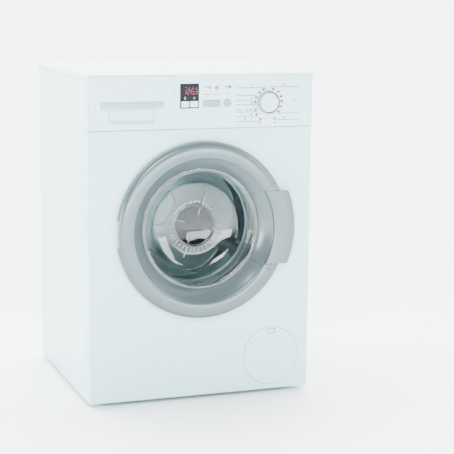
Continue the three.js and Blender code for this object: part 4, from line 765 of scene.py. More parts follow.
def key_cap(name, low, high, radius):
    """A flat key with rounded edges on its stem."""
    cap = block(name, low.x, high.x, low.y, low.y + KEY_THICK, low.z, high.z, radius, 4)
    x, z = (low.x + high.x) / 2, (low.z + high.z) / 2
    return joined(name, [cap, key_stem(x, z, low.y + 2.6, high.y)])


def key_mark(name, low, high, kind):
    """A minus or plus sign in the middle of a key."""
    x, z, y = (low.x + high.x) / 2, (low.z + high.z) / 2, low.y
    long, thin = 3.2, 0.4
    bars = [oblong(x - long, x + long, z - thin, z + thin, 0.3, 2)]
    if kind == "plus":
        bars.append(oblong(x - thin, x + thin, z - long, z + long, 0.3, 2))
    return joined(name, [plate("mark", [loop], y - 0.08, y + 0.1, 0.03) for loop in bars])


piece("key_display_left", key_cap("key_display_left", left_low, left_high, 1.0), WHITE,
      "button_display_left", ["display_button_left"])
piece("key_display_right", key_cap("key_display_right", right_low, right_high, 1.0), WHITE,
      "button_display_right", ["display_button_right"])
piece("mark_display_left", key_mark("mark_display_left", left_low, left_high, "minus"), PALE_PRINT,
      "button_display_left")
piece("mark_display_right", key_mark("mark_display_right", right_low, right_high, "plus"), PALE_PRINT,
      "button_display_right")
piece("key_option", key_cap("key_option", option_low, option_high, 0.9), PALE,
      "button_option", ["option_button"])


def start_key():
    y = start_low.y
    cap = turned("cap", [(0, y + 0.5), (6.0, y + 0.35), (8.8, y + 0.05), (9.6, y + 0.3), (9.9, y + 1.0),
                         (9.9, y + KEY_THICK), (0, y + KEY_THICK)], 48, START_X, START_Z, closed=False)
    return joined("key_start", [cap, key_stem(START_X, START_Z, y + 2.6, start_high.y)])


piece("key_start", start_key(), PALE, "button_start", ["start_button"])


def start_mark():
    y = start_low.y
    wedge = [(START_X - 3.6, START_Z - 2.4), (START_X - 0.2, START_Z), (START_X - 3.6, START_Z + 2.4)]
    parts = [plate("m", [wedge], y + 0.25, y + 0.6, 0.02)]
    for x in (START_X + 1.2, START_X + 3.2):
        loop = oblong(x - 0.4, x + 0.4, START_Z - 2.4, START_Z + 2.4, 0.2, 2)
        parts.append(plate("m", [loop], y + 0.2, y + 0.6, 0.02))
    return joined("mark_start", parts)


piece("mark_start", start_mark(), PALE_PRINT, "button_start")
print("buttons done")

# %% [markdown]
# ## Programme dial
#
# A plain round knob with a red pointer stands inside a raised collar that is red on its right
# side and grey on its left. Lines and small signs lead away from it.

# %% Dial
def knob():
    front, back = knob_low.y, FACE - 0.3
    cap = turned("cap", [(0, front + 0.9), (12.0, front + 0.7), (21.0, front + 0.15), (23.2, front + 0.25),
                         (24.2, front + 1.2), (24.6, front + 3.0), (24.9, back - 2.0), (25.2, back - 0.4),
                         (25.0, back), (4.0, back), (4.0, knob_high.y), (0, knob_high.y)],
                 96, KNOB_X, KNOB_Z, closed=False)
    return joined("dial_knob", [cap])


def knob_ribs():
    """Fine grip ribs round the knob's side."""
    parts = []
    for i in range(48):
        rib = block("rib", KNOB_X - 0.35, KNOB_X + 0.35, knob_low.y + 3.4, FACE - 2.6,
                    KNOB_Z + 24.3, KNOB_Z + 25.1, 0.2, 1)
        parts.append(spun(rib, i * 7.5, KNOB_X, KNOB_Z))
    return joined("dial_ribs", parts)


def knob_pointer():
    front = knob_low.y
    bar_mesh = plate("pointer", [oblong(KNOB_X + 14.5, KNOB_X + 23.3, KNOB_Z - 0.9, KNOB_Z + 0.9, 0.7, 3)],
                     front + 0.02, front + 1.2, 0.1)
    return spun(bar_mesh, -41, KNOB_X, KNOB_Z)


def dial_ring(name, start, sweep):
    """A stretch of the raised collar round the knob, from one angle on by a sweep."""
    band = arc_band(27.3, 2.4, start, sweep, KNOB_X, KNOB_Z)
    return plate(name, [band], knob_low.y + 2.6, FACE + 0.1, 0.3)


piece("dial_knob", knob(), WHITE, "knob", ["program_knob"])
piece("dial_ribs", knob_ribs(), WHITE, "knob")
piece("dial_pointer", knob_pointer(), RED, "knob")
piece("dial_ring_red", dial_ring("dial_ring_red", 90, -195), RED, "cabinet")
piece("dial_ring_grey", dial_ring("dial_ring_grey", 92, 161), PALE_PRINT, "cabinet")

LEGEND_LINES = [  # x from, x to, height above the dial's centre
    (-86, -7, 38), (-86, -32, 18), (-86, -35, 6), (-86, -35, -5), (-86, -30, -24), (-86, -25, -35),
    (-86, -15, -48), (5, 87, 39), (28, 87, -29), (28, 87, -46),
]


def stroke(x0, z0, x1, z1, width=0.5):
    """A thin printed line between two points, counted from the dial's centre."""
    start, end = Vector((x0, z0)), Vector((x1, z1))
    along = (end - start).normalized()
    side = Vector((-along.y, along.x)) * width / 2
    corners = [start - side, end - side, end + side, start + side]
    loop = [(KNOB_X + p.x, KNOB_Z + p.y) for p in corners]
    return plate("stroke", [loop], FACE - 0.1, FACE + 0.1, 0.0)


def sign(kind, x, z, size):
    """A small generic sign about its centre, counted from the dial's centre."""
    s = size
    if kind == "basin":
        lines = [(-s, s * 0.6, -s * 0.7, -s * 0.7), (-s * 0.7, -s * 0.7, s * 0.7, -s * 0.7),
                 (s * 0.7, -s * 0.7, s, s * 0.6), (-s, s * 0.2, s, s * 0.2)]
    elif kind == "spiral":
        lines = [(-s, 0, 0, s), (0, s, s, 0), (s, 0, 0, -s), (0, -s, -s * 0.5, -s * 0.2)]
    elif kind == "shirt":
        lines = [(-s, s * 0.6, s, s * 0.6), (-s * 0.6, s * 0.6, -s * 0.6, -s),
                 (s * 0.6, s * 0.6, s * 0.6, -s), (-s * 0.6, -s, s * 0.6, -s)]
    elif kind == "clock":
        lines = [(-s, -s, s, -s), (s, -s, s, s), (s, s, -s, s), (-s, s, -s, -s), (0, 0, 0, s * 0.7)]
    elif kind == "drop":
        lines = [(0, s, -s * 0.7, -s * 0.4), (-s * 0.7, -s * 0.4, 0, -s), (0, -s, s * 0.7, -s * 0.4),
                 (s * 0.7, -s * 0.4, 0, s)]
    else:
        lines = [(-s, 0, s, 0), (0, -s, 0, s)]
    width = max(1.6, size * 0.42)
    return [stroke(x + a, z + b, x + c, z + d, width) for a, b, c, d in lines]


def legends():
    parts = []
    for x in (-7, 0, 7):
        parts.append(stroke(x, 33.5, x, 38.5 if x else 37.0))
    parts.append(stroke(0, -33, 0, -45, 0.6))
    parts += [stroke(-13, -35, -13, -44, 0.4), stroke(13, -35, 13, -44, 0.4)]
    for kind, x, z, size in (
            ("drop", -46, 44, 2.2), ("basin", 45, 45, 2.6), ("shirt", -45, 12, 1.8), ("clock", -45, 0, 1.8),
            ("basin", -84, -19, 2.0), ("spiral", -76, -19, 2.0), ("shirt", -58, -18, 2.2),
            ("basin", -47, -18, 2.2), ("clock", -45, -30, 1.6), ("drop", -62, -42, 2.0),
            ("drop", -45, -42, 2.0), ("spiral", 44, -40, 2.6), ("shirt", 73, 3, 2.0),
            ("drop", -22, -53, 2.4), ("drop", 20, -53, 2.4)):
        parts += sign(kind, x, z, size)
    for kind, x, z, size in (("cross", -168, 41, 2.6), ("basin", -158, 41, 4.2), ("drop", -139, 42, 3.8),
                             ("basin", -139, 38, 4.4), ("cross", -113, 41, 3.2), ("spiral", -104, 41, 4.0),
                             ("cross", -104, 41, 2.6)):
        parts += sign(kind, x, z, size)
    return joined("legend_signs", parts)


def legend_numbers():
    parts = []
    for text, x, z in (("30", -13, 33), ("20", -24, 25), ("30", -33, 12.5), ("40", -35, 0.5),
                       ("60", -34, -19), ("40", -31, -31), ("90", -20, -43), ("30", 14, 33.5),
                       ("40", 28, 26), ("60", 36, 14.5), ("90", 38, 1.5), ("60", 35, -12),
                       ("40", 29, -25), ("30", 19, -43)):
        parts.append(lettering("n", text, KNOB_X + x, KNOB_Z + z, 7.4, FACE - 0.06))
    return joined("legend_numbers", parts)


def rules():
    return joined("legend_rules", [stroke(x0, z, x1, z, 1.5) for x0, x1, z in LEGEND_LINES])


piece("legend_rules", rules(), LINE, "cabinet")
piece("legend_signs", legends(), PRINT, "cabinet")
piece("legend_numbers", legend_numbers(), PRINT, "cabinet")


def lamp(name, x0, x1, z, height, material):
    mesh = block(name, x0, x1, FACE - 0.35, FACE + 0.6, z - height / 2, z + height / 2, 0.35, 2)
    piece(name, mesh, material, "cabinet")


LAMP_Z = display_low.z + 35
lamp("lamp_red", 0.5, 21.0, LAMP_Z, 2.4, RED)
lamp("lamp_grey", 24.0, 45.0, LAMP_Z, 1.8, PALE)
lamp("lamp_small", 61.5, 68.0, LAMP_Z + 1, 2.2, DARK)
print("dial and legends done")

# %% [markdown]
# ## Detergent drawer
#
# The drawer's front carries a soft finger bowl under a flat grip insert.

# %% Drawer front
# left, right, lower and upper edge of the finger bowl and of the grip strip above it
BOWL = (-246.0, -124.0, drawer_low.z + 16.0, drawer_low.z + 58.0)
STRIP = (-267.0, -103.0, drawer_low.z + 52.0, drawer_low.z + 70.0)
BOWL_CORNER = 12.0


def bowl_loops(grow, y):
    """The bowl's outline, made wider by grow, at a depth y."""
    x0, x1, z0, z1 = BOWL
    corner = max(BOWL_CORNER + grow, 2.0)
    return [(x, y, z) for x, z in oblong(x0 - grow, x1 + grow, z0 - grow, z1 + grow, corner, 8)]


def finger_bowl():
    """The bowl's wall: a smooth fall from the mouth to a flat floor, with an even thickness."""
    stations = [(0.9, 1.0), (0.2, 1.7), (-0.6, 3.0), (-1.6, 5.5), (-3.0, 8.5), (-5.2, 10.8), (-8.0, 11.9)]
    verts, faces = [], []
    size = len(bowl_loops(0, 0))
    for grow, y in stations:
        verts += bowl_loops(grow, FACE + y)
    for grow, y in stations[::-1]:
        verts += bowl_loops(grow + 1.3, FACE + y + 1.3)
    rows = len(stations) * 2
    for r in range(rows):
        s = (r + 1) % rows
        if r == len(stations) - 1:
            continue
        for k in range(size):
            m = (k + 1) % size
            faces.append((r * size + k, r * size + m, s * size + m, s * size + k))
    inner = len(stations) - 1
    faces.append(tuple(inner * size + k for k in range(size)))
    faces.append(tuple((inner + 1) * size + k for k in range(size))[::-1])
    return make("finger_bowl", verts, faces, 60)


def drawer_face():
    rim = oblong(drawer_low.x, drawer_high.x, drawer_low.z, drawer_high.z, 2.0)
    opening = [(x, z) for x, _, z in bowl_loops(0.6, 0)]
    board = plate("drawer_face", [rim, opening], FACE, FACE + 3.4, 0.9)
    return joined("drawer_face", [board, finger_bowl()], 50)


def strip_part(name, x0, x1, proud):
    """A stretch of the grip strip over the bowl."""
    return block(name, x0, x1, FACE - proud, FACE + 2.4, STRIP[2], STRIP[3], 0.5, 3)


piece("drawer_face", drawer_face(), WHITE, "drawer", ["drawer_front"])
piece("grip_insert", strip_part("grip_insert", STRIP[0] + 4.2, STRIP[1], 1.1), GRIP, "drawer")
piece("grip_cap", strip_part("grip_cap", STRIP[0], STRIP[0] + 3.6, 1.0), GRIP, "drawer")
print("drawer front done")

# %% [markdown]
# ## Door
#
# The wide silver ring, the dished bezel that leads to the glass and the handle's surround
# are turned from one section, so their faces run into each other. The handle is turned from a section of its
# own.

# %% Door ring, surround and handle
HANDLE_HALF = span("door_handle")[1].z - DOOR_Z
RING_SECTION = [
    (229.0, -3.2), (228.9, -10.0), (228.5, -15.5), (227.6, -18.6), (225.9, -20.9), (223.8, -22.3),
    (222.6, -23.6), (221.2, -24.5), (218.5, -25.1), (210.0, -25.7), (200.0, -25.6), (192.0, -24.7),
    (188.4, -23.8), (187.3, -23.2), (186.4, -22.2),
    (180.5, -17.2), (172.0, -10.0), (164.0, -1.6), (158.6, 4.4), (157.0, 6.6), (157.0, 8.4), (159.4, 8.6),
    (162.0, 6.0), (166.6, 1.2), (174.2, -7.8), (182.2, -14.9), (188.4, -20.0), (203.5, -23.1),
    (218.0, -22.3), (222.4, -20.2), (225.2, -15.0), (226.2, -9.0), (226.4, -3.2),
]
SEAM = 32.0      # degrees above and below level where the surround meets the ring
SEAM_GAP = 0.13  # degrees left open each way along the seam
CREASE = 187.2   # radius of the crease between the ring's face and its inner slope


def wedge_tool(name, degrees):
    """A wedge that opens to the right from the door's axis, by an angle each way."""
    reach = 400
    a = math.radians(degrees)
    loop = [(0, DOOR_Z), (reach * math.cos(a), DOOR_Z - reach * math.sin(a)),
            (reach * math.cos(a), DOOR_Z + reach * math.sin(a))]
    return plate(name, [loop], -60, 40, 0)


def slot_tool():
    """The pocket for the hinge leaf."""
    return block("slot", -240, -190, -19.6, 2, DOOR_Z - 36, DOOR_Z + 36, 0)


def door_ring():
    mesh = turned("door_ring", RING_SECTION, 192, angle=30)
    mesh = combine(mesh, wedge_tool("wedge", SEAM + SEAM_GAP), angle=30)
    return combine(mesh, slot_tool(), angle=30)


def surround():
    mesh = turned("surround", RING_SECTION, 192, angle=30)
    mesh = combine(mesh, wedge_tool("wedge", SEAM - SEAM_GAP), "INTERSECT", 30)
    half = HANDLE_HALF + 0.9
    band = block("band", 0, 300, -60, 60, DOOR_Z - half, DOOR_Z + half, 0)
    core = plate("core", [circle(CREASE, 192, 0, DOOR_Z)], -80, 80, 0)
    return combine(mesh, combine(band, core), angle=30)


HANDLE_SECTION = [
    (189.0, -22.9), (190.2, -23.9), (197.0, -25.2), (212.0, -26.4), (228.0, -27.3), (238.0, -27.4),
    (243.4, -26.2), (246.0, -23.8), (247.0, -20.8), (246.4, -17.6), (244.4, -15.2), (240.0, -14.6),
    (232.0, -14.9), (212.0, -15.7), (190.4, -16.4), (189.0, -17.6),
]


PULL_PIN_X = 194  # the handle's pivot, to the right of the door's axis
BARREL_HALF = 66  # half length of the barrel round the pin


def handle():
    mesh = turned("handle", HANDLE_SECTION, 192, angle=30)
    keep = block("keep", 100, 300, -60, 20, DOOR_Z - HANDLE_HALF, DOOR_Z + HANDLE_HALF, 0)
    mesh = eased(combine(mesh, keep, "INTERSECT", 30), 0.7, 3, 50)
    low, high = DOOR_Z - BARREL_HALF, DOOR_Z + BARREL_HALF
    barrel = upright("barrel", [(0, low), (3, low), (3, high), (0, high)], 20, PULL_PIN_X, -9)
    web = block("web", PULL_PIN_X - 1.5, PULL_PIN_X + 1.5, -17, -9, low, high, 0.3, 1)
    ribs = []
    for z in range(-60, 61, 20):
        ribs.append(block("rib", 196, 236, -17.5, -14.0, DOOR_Z + z - 0.8, DOOR_Z + z + 0.8, 0.3, 1))
    return joined("door_pull", [mesh, barrel, web] + ribs)


piece("door_ring_shell", door_ring(), SILVER, "door", ["door_ring"])
piece("door_surround_shell", surround(), SILVER, "door", ["handle_surround"])
piece("door_pull", handle(), SILVER, "handle", ["door_handle"])
print("door ring, surround and handle done")


# %% Glass bowl
END = span("door_glass")[1].y - 0.4  # where the bowl's end stands, just inside the glass


def glass_bowl():
    e = END
    return turned("glass_bowl", [
        (50.0, e - 4.6), (52.2, e - 6.4), (54.2, e - 7.0), (56.4, e - 4.6), (60.0, e - 4.4),
        (84.0, e - 8.4), (104.0, e - 13.0), (112.6, e - 16.4), (118.0, e - 20.6),
        (121.6, e - 26.0), (126.4, e - 34.0),
        (146.4, 17.4), (148.6, 15.0), (151.0, 13.4), (162.6, 13.4), (163.0, 12.6), (163.0, 9.8),
        (162.6, 9.3), (148.0, 9.3), (145.6, 11.0), (143.4, 14.4), (123.0, e - 36.0),
        (118.2, e - 27.6), (115.0, e - 23.0),
        (110.4, e - 19.6), (102.8, e - 16.6), (83.0, e - 12.2), (61.0, e - 8.6), (57.8, e - 9.6),
        (54.6, e - 11.6), (51.6, e - 10.4), (50.0, e - 8.4)], 160, angle=60)


# Painted shade: the bowl's middle is a disc of darkened glass, standing for the darker reflection of its
# deep concave centre.
def bowl_centre():
    e = END
    return turned("bowl_centre", [(0, e - 1.2), (22.0, e - 1.8), (40.0, e - 3.4), (49.9, e - 4.8),
                                  (49.9, e - 8.6), (40.0, e - 7.2), (22.0, e - 5.6), (0, e - 5.0)],
                  128, closed=False, angle=60)


def bowl_ribs():
    """Short pressed ribs that stand round the bowl's central disc, a few of them long."""
    parts = []
    for i in range(36):
        reach = 30 if i % 9 == 2 else 9 + 4 * (i % 2)
        foot = DOOR_Z + 58
        rib = block("rib", -0.8, 0.8, END - 12.0 - reach / 8, END - 8.4, foot, foot + reach, 0.6, 3)
        parts.append(spun(rib, i * 10, 0, DOOR_Z))
        if i % 9 == 2:
            inner = block("rib", -0.6, 0.6, END - 10.4, END - 6.0, DOOR_Z + 28, DOOR_Z + 49, 0.5, 3)
            parts.append(spun(inner, i * 10, 0, DOOR_Z))
    return joined("bowl_ribs", parts)


piece("glass_bowl", glass_bowl(), GLASS, "door", ["door_glass"])
piece("bowl_centre", bowl_centre(), GLASS_PAINTED_SHADE, "door")
piece("bowl_ribs", bowl_ribs(), FROSTED, "door")
print("glass bowl done, its end at", round(END, 1))


# %% Gasket
def gasket():
    section = rounded([
        (172.9, 23.2), (176.2, 23.2), (176.6, 31), (173.8, 37), (178.0, 43), (173.4, 50), (177.6, 58),
        (172.4, 64), (172.4, 77.6), (167.6, 77.6), (167.6, 68.2), (170.4, 61), (174.2, 56), (170.0, 50),
        (174.0, 44), (168.6, 38), (162.0, 37), (155.6, 30.5), (156.4, 27.6), (158.6, 27.2), (163.6, 31),
        (172.9, 31.4)], 1.6, 3)
    return turned("gasket", section, 128, angle=50)


piece("gasket_bellows", gasket(), SEAL, "cabinet", ["door_gasket"])
print("gasket done")

# %% [markdown]
# ## Drum
#
# The drum is turned with rolled rims. Its holes are placed by geometry nodes: points over a
# cylinder, a small dished rim on each.

# %% Drum shell and lifters
shell_low, shell_high = span("drum_shell")
DRUM_R = (shell_high.z - shell_low.z) / 2
DRUM_FRONT, DRUM_BACK = shell_low.y, shell_high.y


def drum():
    r, f, b = DRUM_R, DRUM_FRONT, DRUM_BACK
    return turned("drum_skin", [
        (155.0, f + 8), (155.0, f + 2.0), (156.2, f + 0.4), (158, f), (r - 26, f), (r - 14, f + 3),
        (r - 5, f + 11), (r - 0.4, f + 24), (r - 0.4, b - 8), (r - 2.6, b - 2.4), (r - 8, b - 0.2),
        (150, b - 0.2), (146, b - 5), (60, b - 5), (56, b - 0.2), (0, b - 0.2), (0, b - 1.5), (55, b - 1.5),
        (59, b - 6.4), (147, b - 6.4), (151, b - 1.6), (r - 8.6, b - 1.6), (r - 3.8, b - 4),
        (r - 1.7, b - 9), (r - 1.7, f + 25), (r - 6.2, f + 12.4), (r - 15, f + 4.4),
        (r - 27, f + 1.4), (158.4, f + 1.4),
        (156.4, f + 2.6), (156.4, f + 8)], 128, closed=True, angle=50)


def lifter(index):
    """One of the three paddles, its outline given as half width and height from the drum's skin."""
    low, high = DRUM_FRONT + 36, DRUM_BACK - 12
    surface = DRUM_R - 3.2
    flank = [(24, 1.4), (19, 8), (13, 26), (9, 36), (4, 39.5)]
    profile = [(-x, d) for x, d in flank] + flank[::-1] + [(12, 0.6), (0, 0.3), (-12, 0.6)]
    loop = [(x, DOOR_Z + surface - d) for x, d in profile]
    mesh = plate("lifter", [loop], low, high, 1.2)
    return spun(mesh, 120 * index, 0, DOOR_Z)


piece("drum_skin", drum(), STAINLESS, "drum", ["drum_shell"])
for index in range(3):
    stands_for = [f"drum_lifter_{index + 1}"]
    piece(f"lifter_{index + 1}", lifter(index), STAINLESS, "drum", stands_for)
print("drum skin radius", round(DRUM_R, 1))

# %% [markdown]
# ### Drum holes by geometry nodes
#
# Inputs: radius, length and counts. The instances are made real and become one plain mesh.

# %% Perforations
def hole_rim():
    """One punched hole seen from inside: a small cup with a rolled rim."""
    section = [(1.5, -0.5), (1.9, -0.9), (2.5, -0.55), (2.7, 0.0)]
    verts, faces = [], []
    count = 8
    for i in range(count):
        turn = 2 * math.pi * i / count
        verts += [(r * math.cos(turn) * MM, r * math.sin(turn) * MM, z * MM) for r, z in section]
    size = len(section)
    for i in range(count):
        j = (i + 1) % count
        for k in range(size - 1):
            faces.append((i * size + k, i * size + k + 1, j * size + k + 1, j * size + k))
    faces.append(tuple(i * size for i in range(count))[::-1])
    mesh = bpy.data.meshes.new("hole_rim")
    mesh.from_pydata(verts, [], faces)
    for face in mesh.polygons:
        face.use_smooth = True
    mesh.materials.append(STAINLESS)
    return mesh


def perforation_tree():
    tree = bpy.data.node_groups.new("Punched holes", "GeometryNodeTree")
    sockets = {}
    for label, kind, value in (("Columns", "NodeSocketInt", 72), ("Rows", "NodeSocketInt", 15),
                               ("Radius", "NodeSocketFloat", 0.236), ("Length", "NodeSocketFloat", 0.25),
                               ("Rim", "NodeSocketObject", None), ("Finish", "NodeSocketMaterial", None)):
        item = tree.interface.new_socket(label, in_out="INPUT", socket_type=kind)
        sockets[label] = item.identifier
        if value is not None:
            item.default_value = value
    tree.interface.new_socket("Geometry", in_out="OUTPUT", socket_type="NodeSocketGeometry")
    start, end = tree.nodes.new("NodeGroupInput"), tree.nodes.new("NodeGroupOutput")
    grid = add(tree, "GeometryNodeMeshGrid", i0=1.0, i1=1.0, i2=start.outputs["Columns"],
               i3=start.outputs["Rows"])
    place = tree.nodes.new("GeometryNodeInputPosition")
    parts = add(tree, "ShaderNodeSeparateXYZ", i0=place.outputs[0])
    number = tree.nodes.new("GeometryNodeInputIndex")

    def worked(operation, *values):
        inputs = {f"i{place}": value for place, value in enumerate(values)}
        return add(tree, "ShaderNodeMath", {"operation": operation}, **inputs).outputs[0]

    odd = worked("MODULO", number.outputs[0], 2.0)
    half_step = worked("DIVIDE", math.pi, start.outputs["Columns"])
    shift = worked("MULTIPLY", odd, half_step)
    turn = worked("MULTIPLY_ADD", parts.outputs[0], 2 * math.pi, shift)
    x = worked("MULTIPLY", worked("SINE", turn), start.outputs["Radius"])
    z = worked("MULTIPLY", worked("COSINE", turn), start.outputs["Radius"])
    y = worked("MULTIPLY", parts.outputs[1], start.outputs["Length"])
    spot = add(tree, "ShaderNodeCombineXYZ", i0=x, i1=y, i2=z)
    inward = add(tree, "ShaderNodeCombineXYZ", i0=x, i1=0.0, i2=z)
    face = add(tree, "FunctionNodeAlignRotationToVector", {"axis": "Z"}, Vector=inward.outputs[0])
    wrap = add(tree, "GeometryNodeSetPosition", Geometry=grid.outputs[0], Position=spot.outputs[0])
    shape = add(tree, "GeometryNodeObjectInfo", Object=start.outputs["Rim"])
    scatter = add(tree, "GeometryNodeInstanceOnPoints", Points=wrap.outputs[0],
                  Instance=shape.outputs["Geometry"], Rotation=face.outputs[0])
    real = add(tree, "GeometryNodeRealizeInstances", Geometry=scatter.outputs[0])
    coat = add(tree, "GeometryNodeSetMaterial", Geometry=real.outputs[0], Material=start.outputs["Finish"])
    tree.links.new(coat.outputs[0], end.inputs[0])
    return tree, sockets


def perforations():
    rim = bpy.data.objects.new("rim_shape", hole_rim())
    bpy.context.scene.collection.objects.link(rim)
    tree, sockets = perforation_tree()
    holder = bpy.data.objects.new("holes", bpy.data.meshes.new("holes"))
    bpy.context.scene.collection.objects.link(holder)
    work = holder.modifiers.new("Punched holes", "NODES")
    work.node_group = tree
    work[sockets["Rim"]] = rim
    work[sockets["Finish"]] = STAINLESS
    work[sockets["Radius"]] = (DRUM_R - 1.75) * MM
    work[sockets["Length"]] = (DRUM_BACK - DRUM_FRONT - 76) * MM
    holder.update_tag()
    graph = bpy.context.evaluated_depsgraph_get()
    mesh = bpy.data.meshes.new_from_object(holder.evaluated_get(graph))
    bpy.data.objects.remove(holder)
    bpy.data.objects.remove(rim)
    middle = (DRUM_FRONT + DRUM_BACK) / 2
    mesh.transform(Matrix.Translation((0, (middle + FRONT) * MM, DOOR_Z * MM)))
    return mesh


holes = perforations()
piece("drum_holes", holes, STAINLESS, "drum")
print("hole faces:", len(holes.polygons))

# %% [markdown]
# ## Service flap

# %% Service flap
FLAP_RADIUS = 77.0
NOTCH_HALF = 11.5     # half width of the finger catch's notch
NOTCH = (60.5, 73.5)  # its lower and upper edge, counted from the flap's centre


def notch_outline(inset, corner):
    """The notch's outline, drawn in by an inset."""
    half = NOTCH_HALF - inset
    return oblong(FLAP_X - half, FLAP_X + half, FLAP_Z + NOTCH[0] + inset, FLAP_Z + NOTCH[1] - inset, corner)


def flap():
    rim = circle(FLAP_RADIUS, 128, FLAP_X, FLAP_Z)
    disc = plate("flap", [rim, notch_outline(0, 3.0)], flap_low.y, flap_high.y, 0.5)
    floor = plate("notch_floor", [notch_outline(0, 3.0)], flap_low.y + 1.3, flap_high.y, 0.0)
    return joined("flap_disc", [disc, floor])


def flap_catch():
    """Painted shade: a dark band round the finger catch at the flap's top, where the gap falls in shade."""
    loops = [notch_outline(0.1, 3.0), notch_outline(1.3, 2.2)]
    return plate("flap_catch", loops, flap_low.y + 0.1, flap_low.y + 1.5, 0.0)


piece("flap_disc", flap(), WHITE, "flap", ["service_flap"])
piece("flap_catch", flap_catch(), LINE, "flap")
print("service flap done")

# %% [markdown]
# ## Sides, top, back and feet

# %% Cabinet wrap
wrap_low, wrap_high = span("cabinet_wrap")
cover_low, cover_high = span("rear_cover")
valve_low, valve_high = span("inlet_valve")
power_low, power_high = span("power_inlet")


def wrap():
    x, front, back = wrap_high.x, wrap_low.y, wrap_high.y
    t, r, lip = 1.4, 6.0, 9.5
    outer = [(-x + lip, front), (-x + 1.2, front), (-x, front + 1.2)]
    outer += [(-x, back - r)] + circle(r, 6, -x + r, back - r, 180, -90)
    outer += circle(r, 6, x - r, back - r, 90, -90) + [(x, front + 1.2), (x - 1.2, front), (x - lip, front)]
    i = r - t
    inner = [(x - lip, front + t), (x - t, front + t)]
    inner += circle(i, 6, x - r, back - r, 0, 90) + circle(i, 6, -x + r, back - r, 90, 90)
    inner += [(-x + t, front + t), (-x + lip, front + t)]
    mesh = slab("wrap", [outer + inner], wrap_low.z, wrap_high.z, 0.25)
    low, high = cover_low.z + 12, cover_high.z - 12
    side = cover_high.x - 12
    mesh = combine(mesh, plate("opening", [oblong(-side, side, low, high, 60, 10)], back - 8, back + 8, 0))
    holes_at = [
        ((valve_low.x + valve_high.x) / 2, (valve_low.z + valve_high.z) / 2, 10.4),
        ((power_low.x + power_high.x) / 2, (power_low.z + power_high.z) / 2, 9),
        (x - 40, 756, 10),
    ]
    for hole_x, hole_z, radius in holes_at:
        mesh = combine(mesh, bar("hole", hole_x, hole_z, radius, back - 8, back + 8, 32, 0))
    return mesh


def rear_ribs():
    """Pressed ribs beside the service opening, and air slots low on the back."""
    back = wrap_high.y
    parts = []
    for side in (-1, 1):
        x = side * (cover_high.x + 34)
        for dx in (-7, 7):
            parts.append(block("bead", x + dx - 2, x + dx + 2, back - 1.0, back + 1.4, 230, 690, 1.0, 3))
    for i in range(9):
        x = -96 + i * 24
        parts.append(block("slot", x - 2.4, x + 2.4, back - 1.0, back + 1.2, 70, 130, 1.0, 3))
    return joined("rear_beads", parts)


piece("cabinet_skin", wrap(), ENAMEL, "cabinet", ["cabinet_wrap"])
piece("rear_beads", rear_ribs(), ENAMEL, "cabinet")


def cover():
    y = cover_low.y
    x1, z0, z1 = cover_high.x, cover_low.z, cover_high.z
    base = plate("cover", [oblong(-x1, x1, z0, z1, 72, 10)], y, y + 1.4, 0.3)
    step = plate("step", [oblong(-x1 + 38, x1 - 38, z0 + 38, z1 - 38, 40, 10)], y + 0.6, y + 4.0, 1.4)
    ribs = []
    for i in range(5):
        z = z0 + 120 + i * (z1 - z0 - 240) / 4
        ribs.append(block("rib", -x1 + 80, x1 - 80, y + 3.0, y + 5.4, z - 3, z + 3, 1.2, 3))
    return joined("rear_cover_skin", [base, step] + ribs)


piece("rear_cover_skin", cover(), GALVANISED, "cabinet", ["rear_cover"])


SCREW_RADIUS = 4.0


def screw(x, y, z):
    """A domed screw head with a cross recess, standing back from y."""
    section = [(0, 2.0), (1.4, 1.95), (SCREW_RADIUS * 0.7, 1.5), (SCREW_RADIUS * 0.95, 0.8),
               (SCREW_RADIUS, 0.0), (0, 0)]
    head = turned("head", [(r, y + d) for r, d in section], 20, x, z, closed=False)
    long, thin = 2.2, 0.45
    for a, b in ((thin, long), (long, thin)):
        cut = [(x - a, z - b), (x + a, z - b), (x + a, z + b), (x - a, z + b)]
        head = combine(head, plate("recess", [cut], y + 1.0, y + 3.0, 0))
    return head


def rear_screws():
    y = cover_low.y + 1.4
    parts = []
    middle = (cover_low.z + cover_high.z) / 2
    for x in (-cover_high.x + 16, cover_high.x - 16):
        for z in (cover_low.z + 90, middle, cover_high.z - 90):
            parts.append(screw(x, y, z))
    for x in (-70, 70):
        parts += [screw(x, y, cover_low.z + 16), screw(x, y, cover_high.z - 16)]
    back = wrap_high.y
    for x in (-262, 262):
        parts += [screw(x, back, 812), screw(x, back, 40)]
    return joined("rear_screws", parts)


piece("rear_screws", rear_screws(), THREAD, "cabinet")


def transport_caps():
    """Four plastic caps over the holes of the shipping bolts."""
    back = wrap_high.y
    parts = []
    for x in (-250, 250):
        for z in (250, 620):
            section = [(0, 3.2), (9, 3.0), (12.4, 2.2), (13.4, 0.8), (13.4, 0.1), (0, 0.1)]
            profile = [(r, back + d) for r, d in section]
            parts.append(turned("cap", profile, 40, x, z, closed=False))
            parts.append(block("grip", x - 7, x + 7, back + 2.4, back + 4.6, z - 1.1, z + 1.1, 0.6, 2))
    return joined("shipping_caps", parts)


piece("shipping_caps", transport_caps(), GREY, "cabinet")
print("wrap, cover and back details done")


# %% Top cover
def top_board():
    return block("top_board", top_low.x + 0.2, top_high.x - 0.2, top_low.y + 0.2, top_high.y - 0.2,
                 top_low.z + 1.0, top_high.z, 3.2, 5)


def top_trim():
    x0, x1, y0, y1 = top_low.x, top_high.x, top_low.y, top_high.y
    wide = 1.6
    outer = oblong(x0, x1, y0, y1, 3.4)
    inner = oblong(x0 + wide, x1 - wide, y0 + wide, y1 - wide, 2.0)
    return slab("top_trim", [outer, inner], top_low.z, top_high.z - 3.4, 0.6)


piece("top_board", top_board(), LAMINATE, "cabinet", ["top_cover"])
piece("top_trim", top_trim(), WHITE, "cabinet")
print("top done")


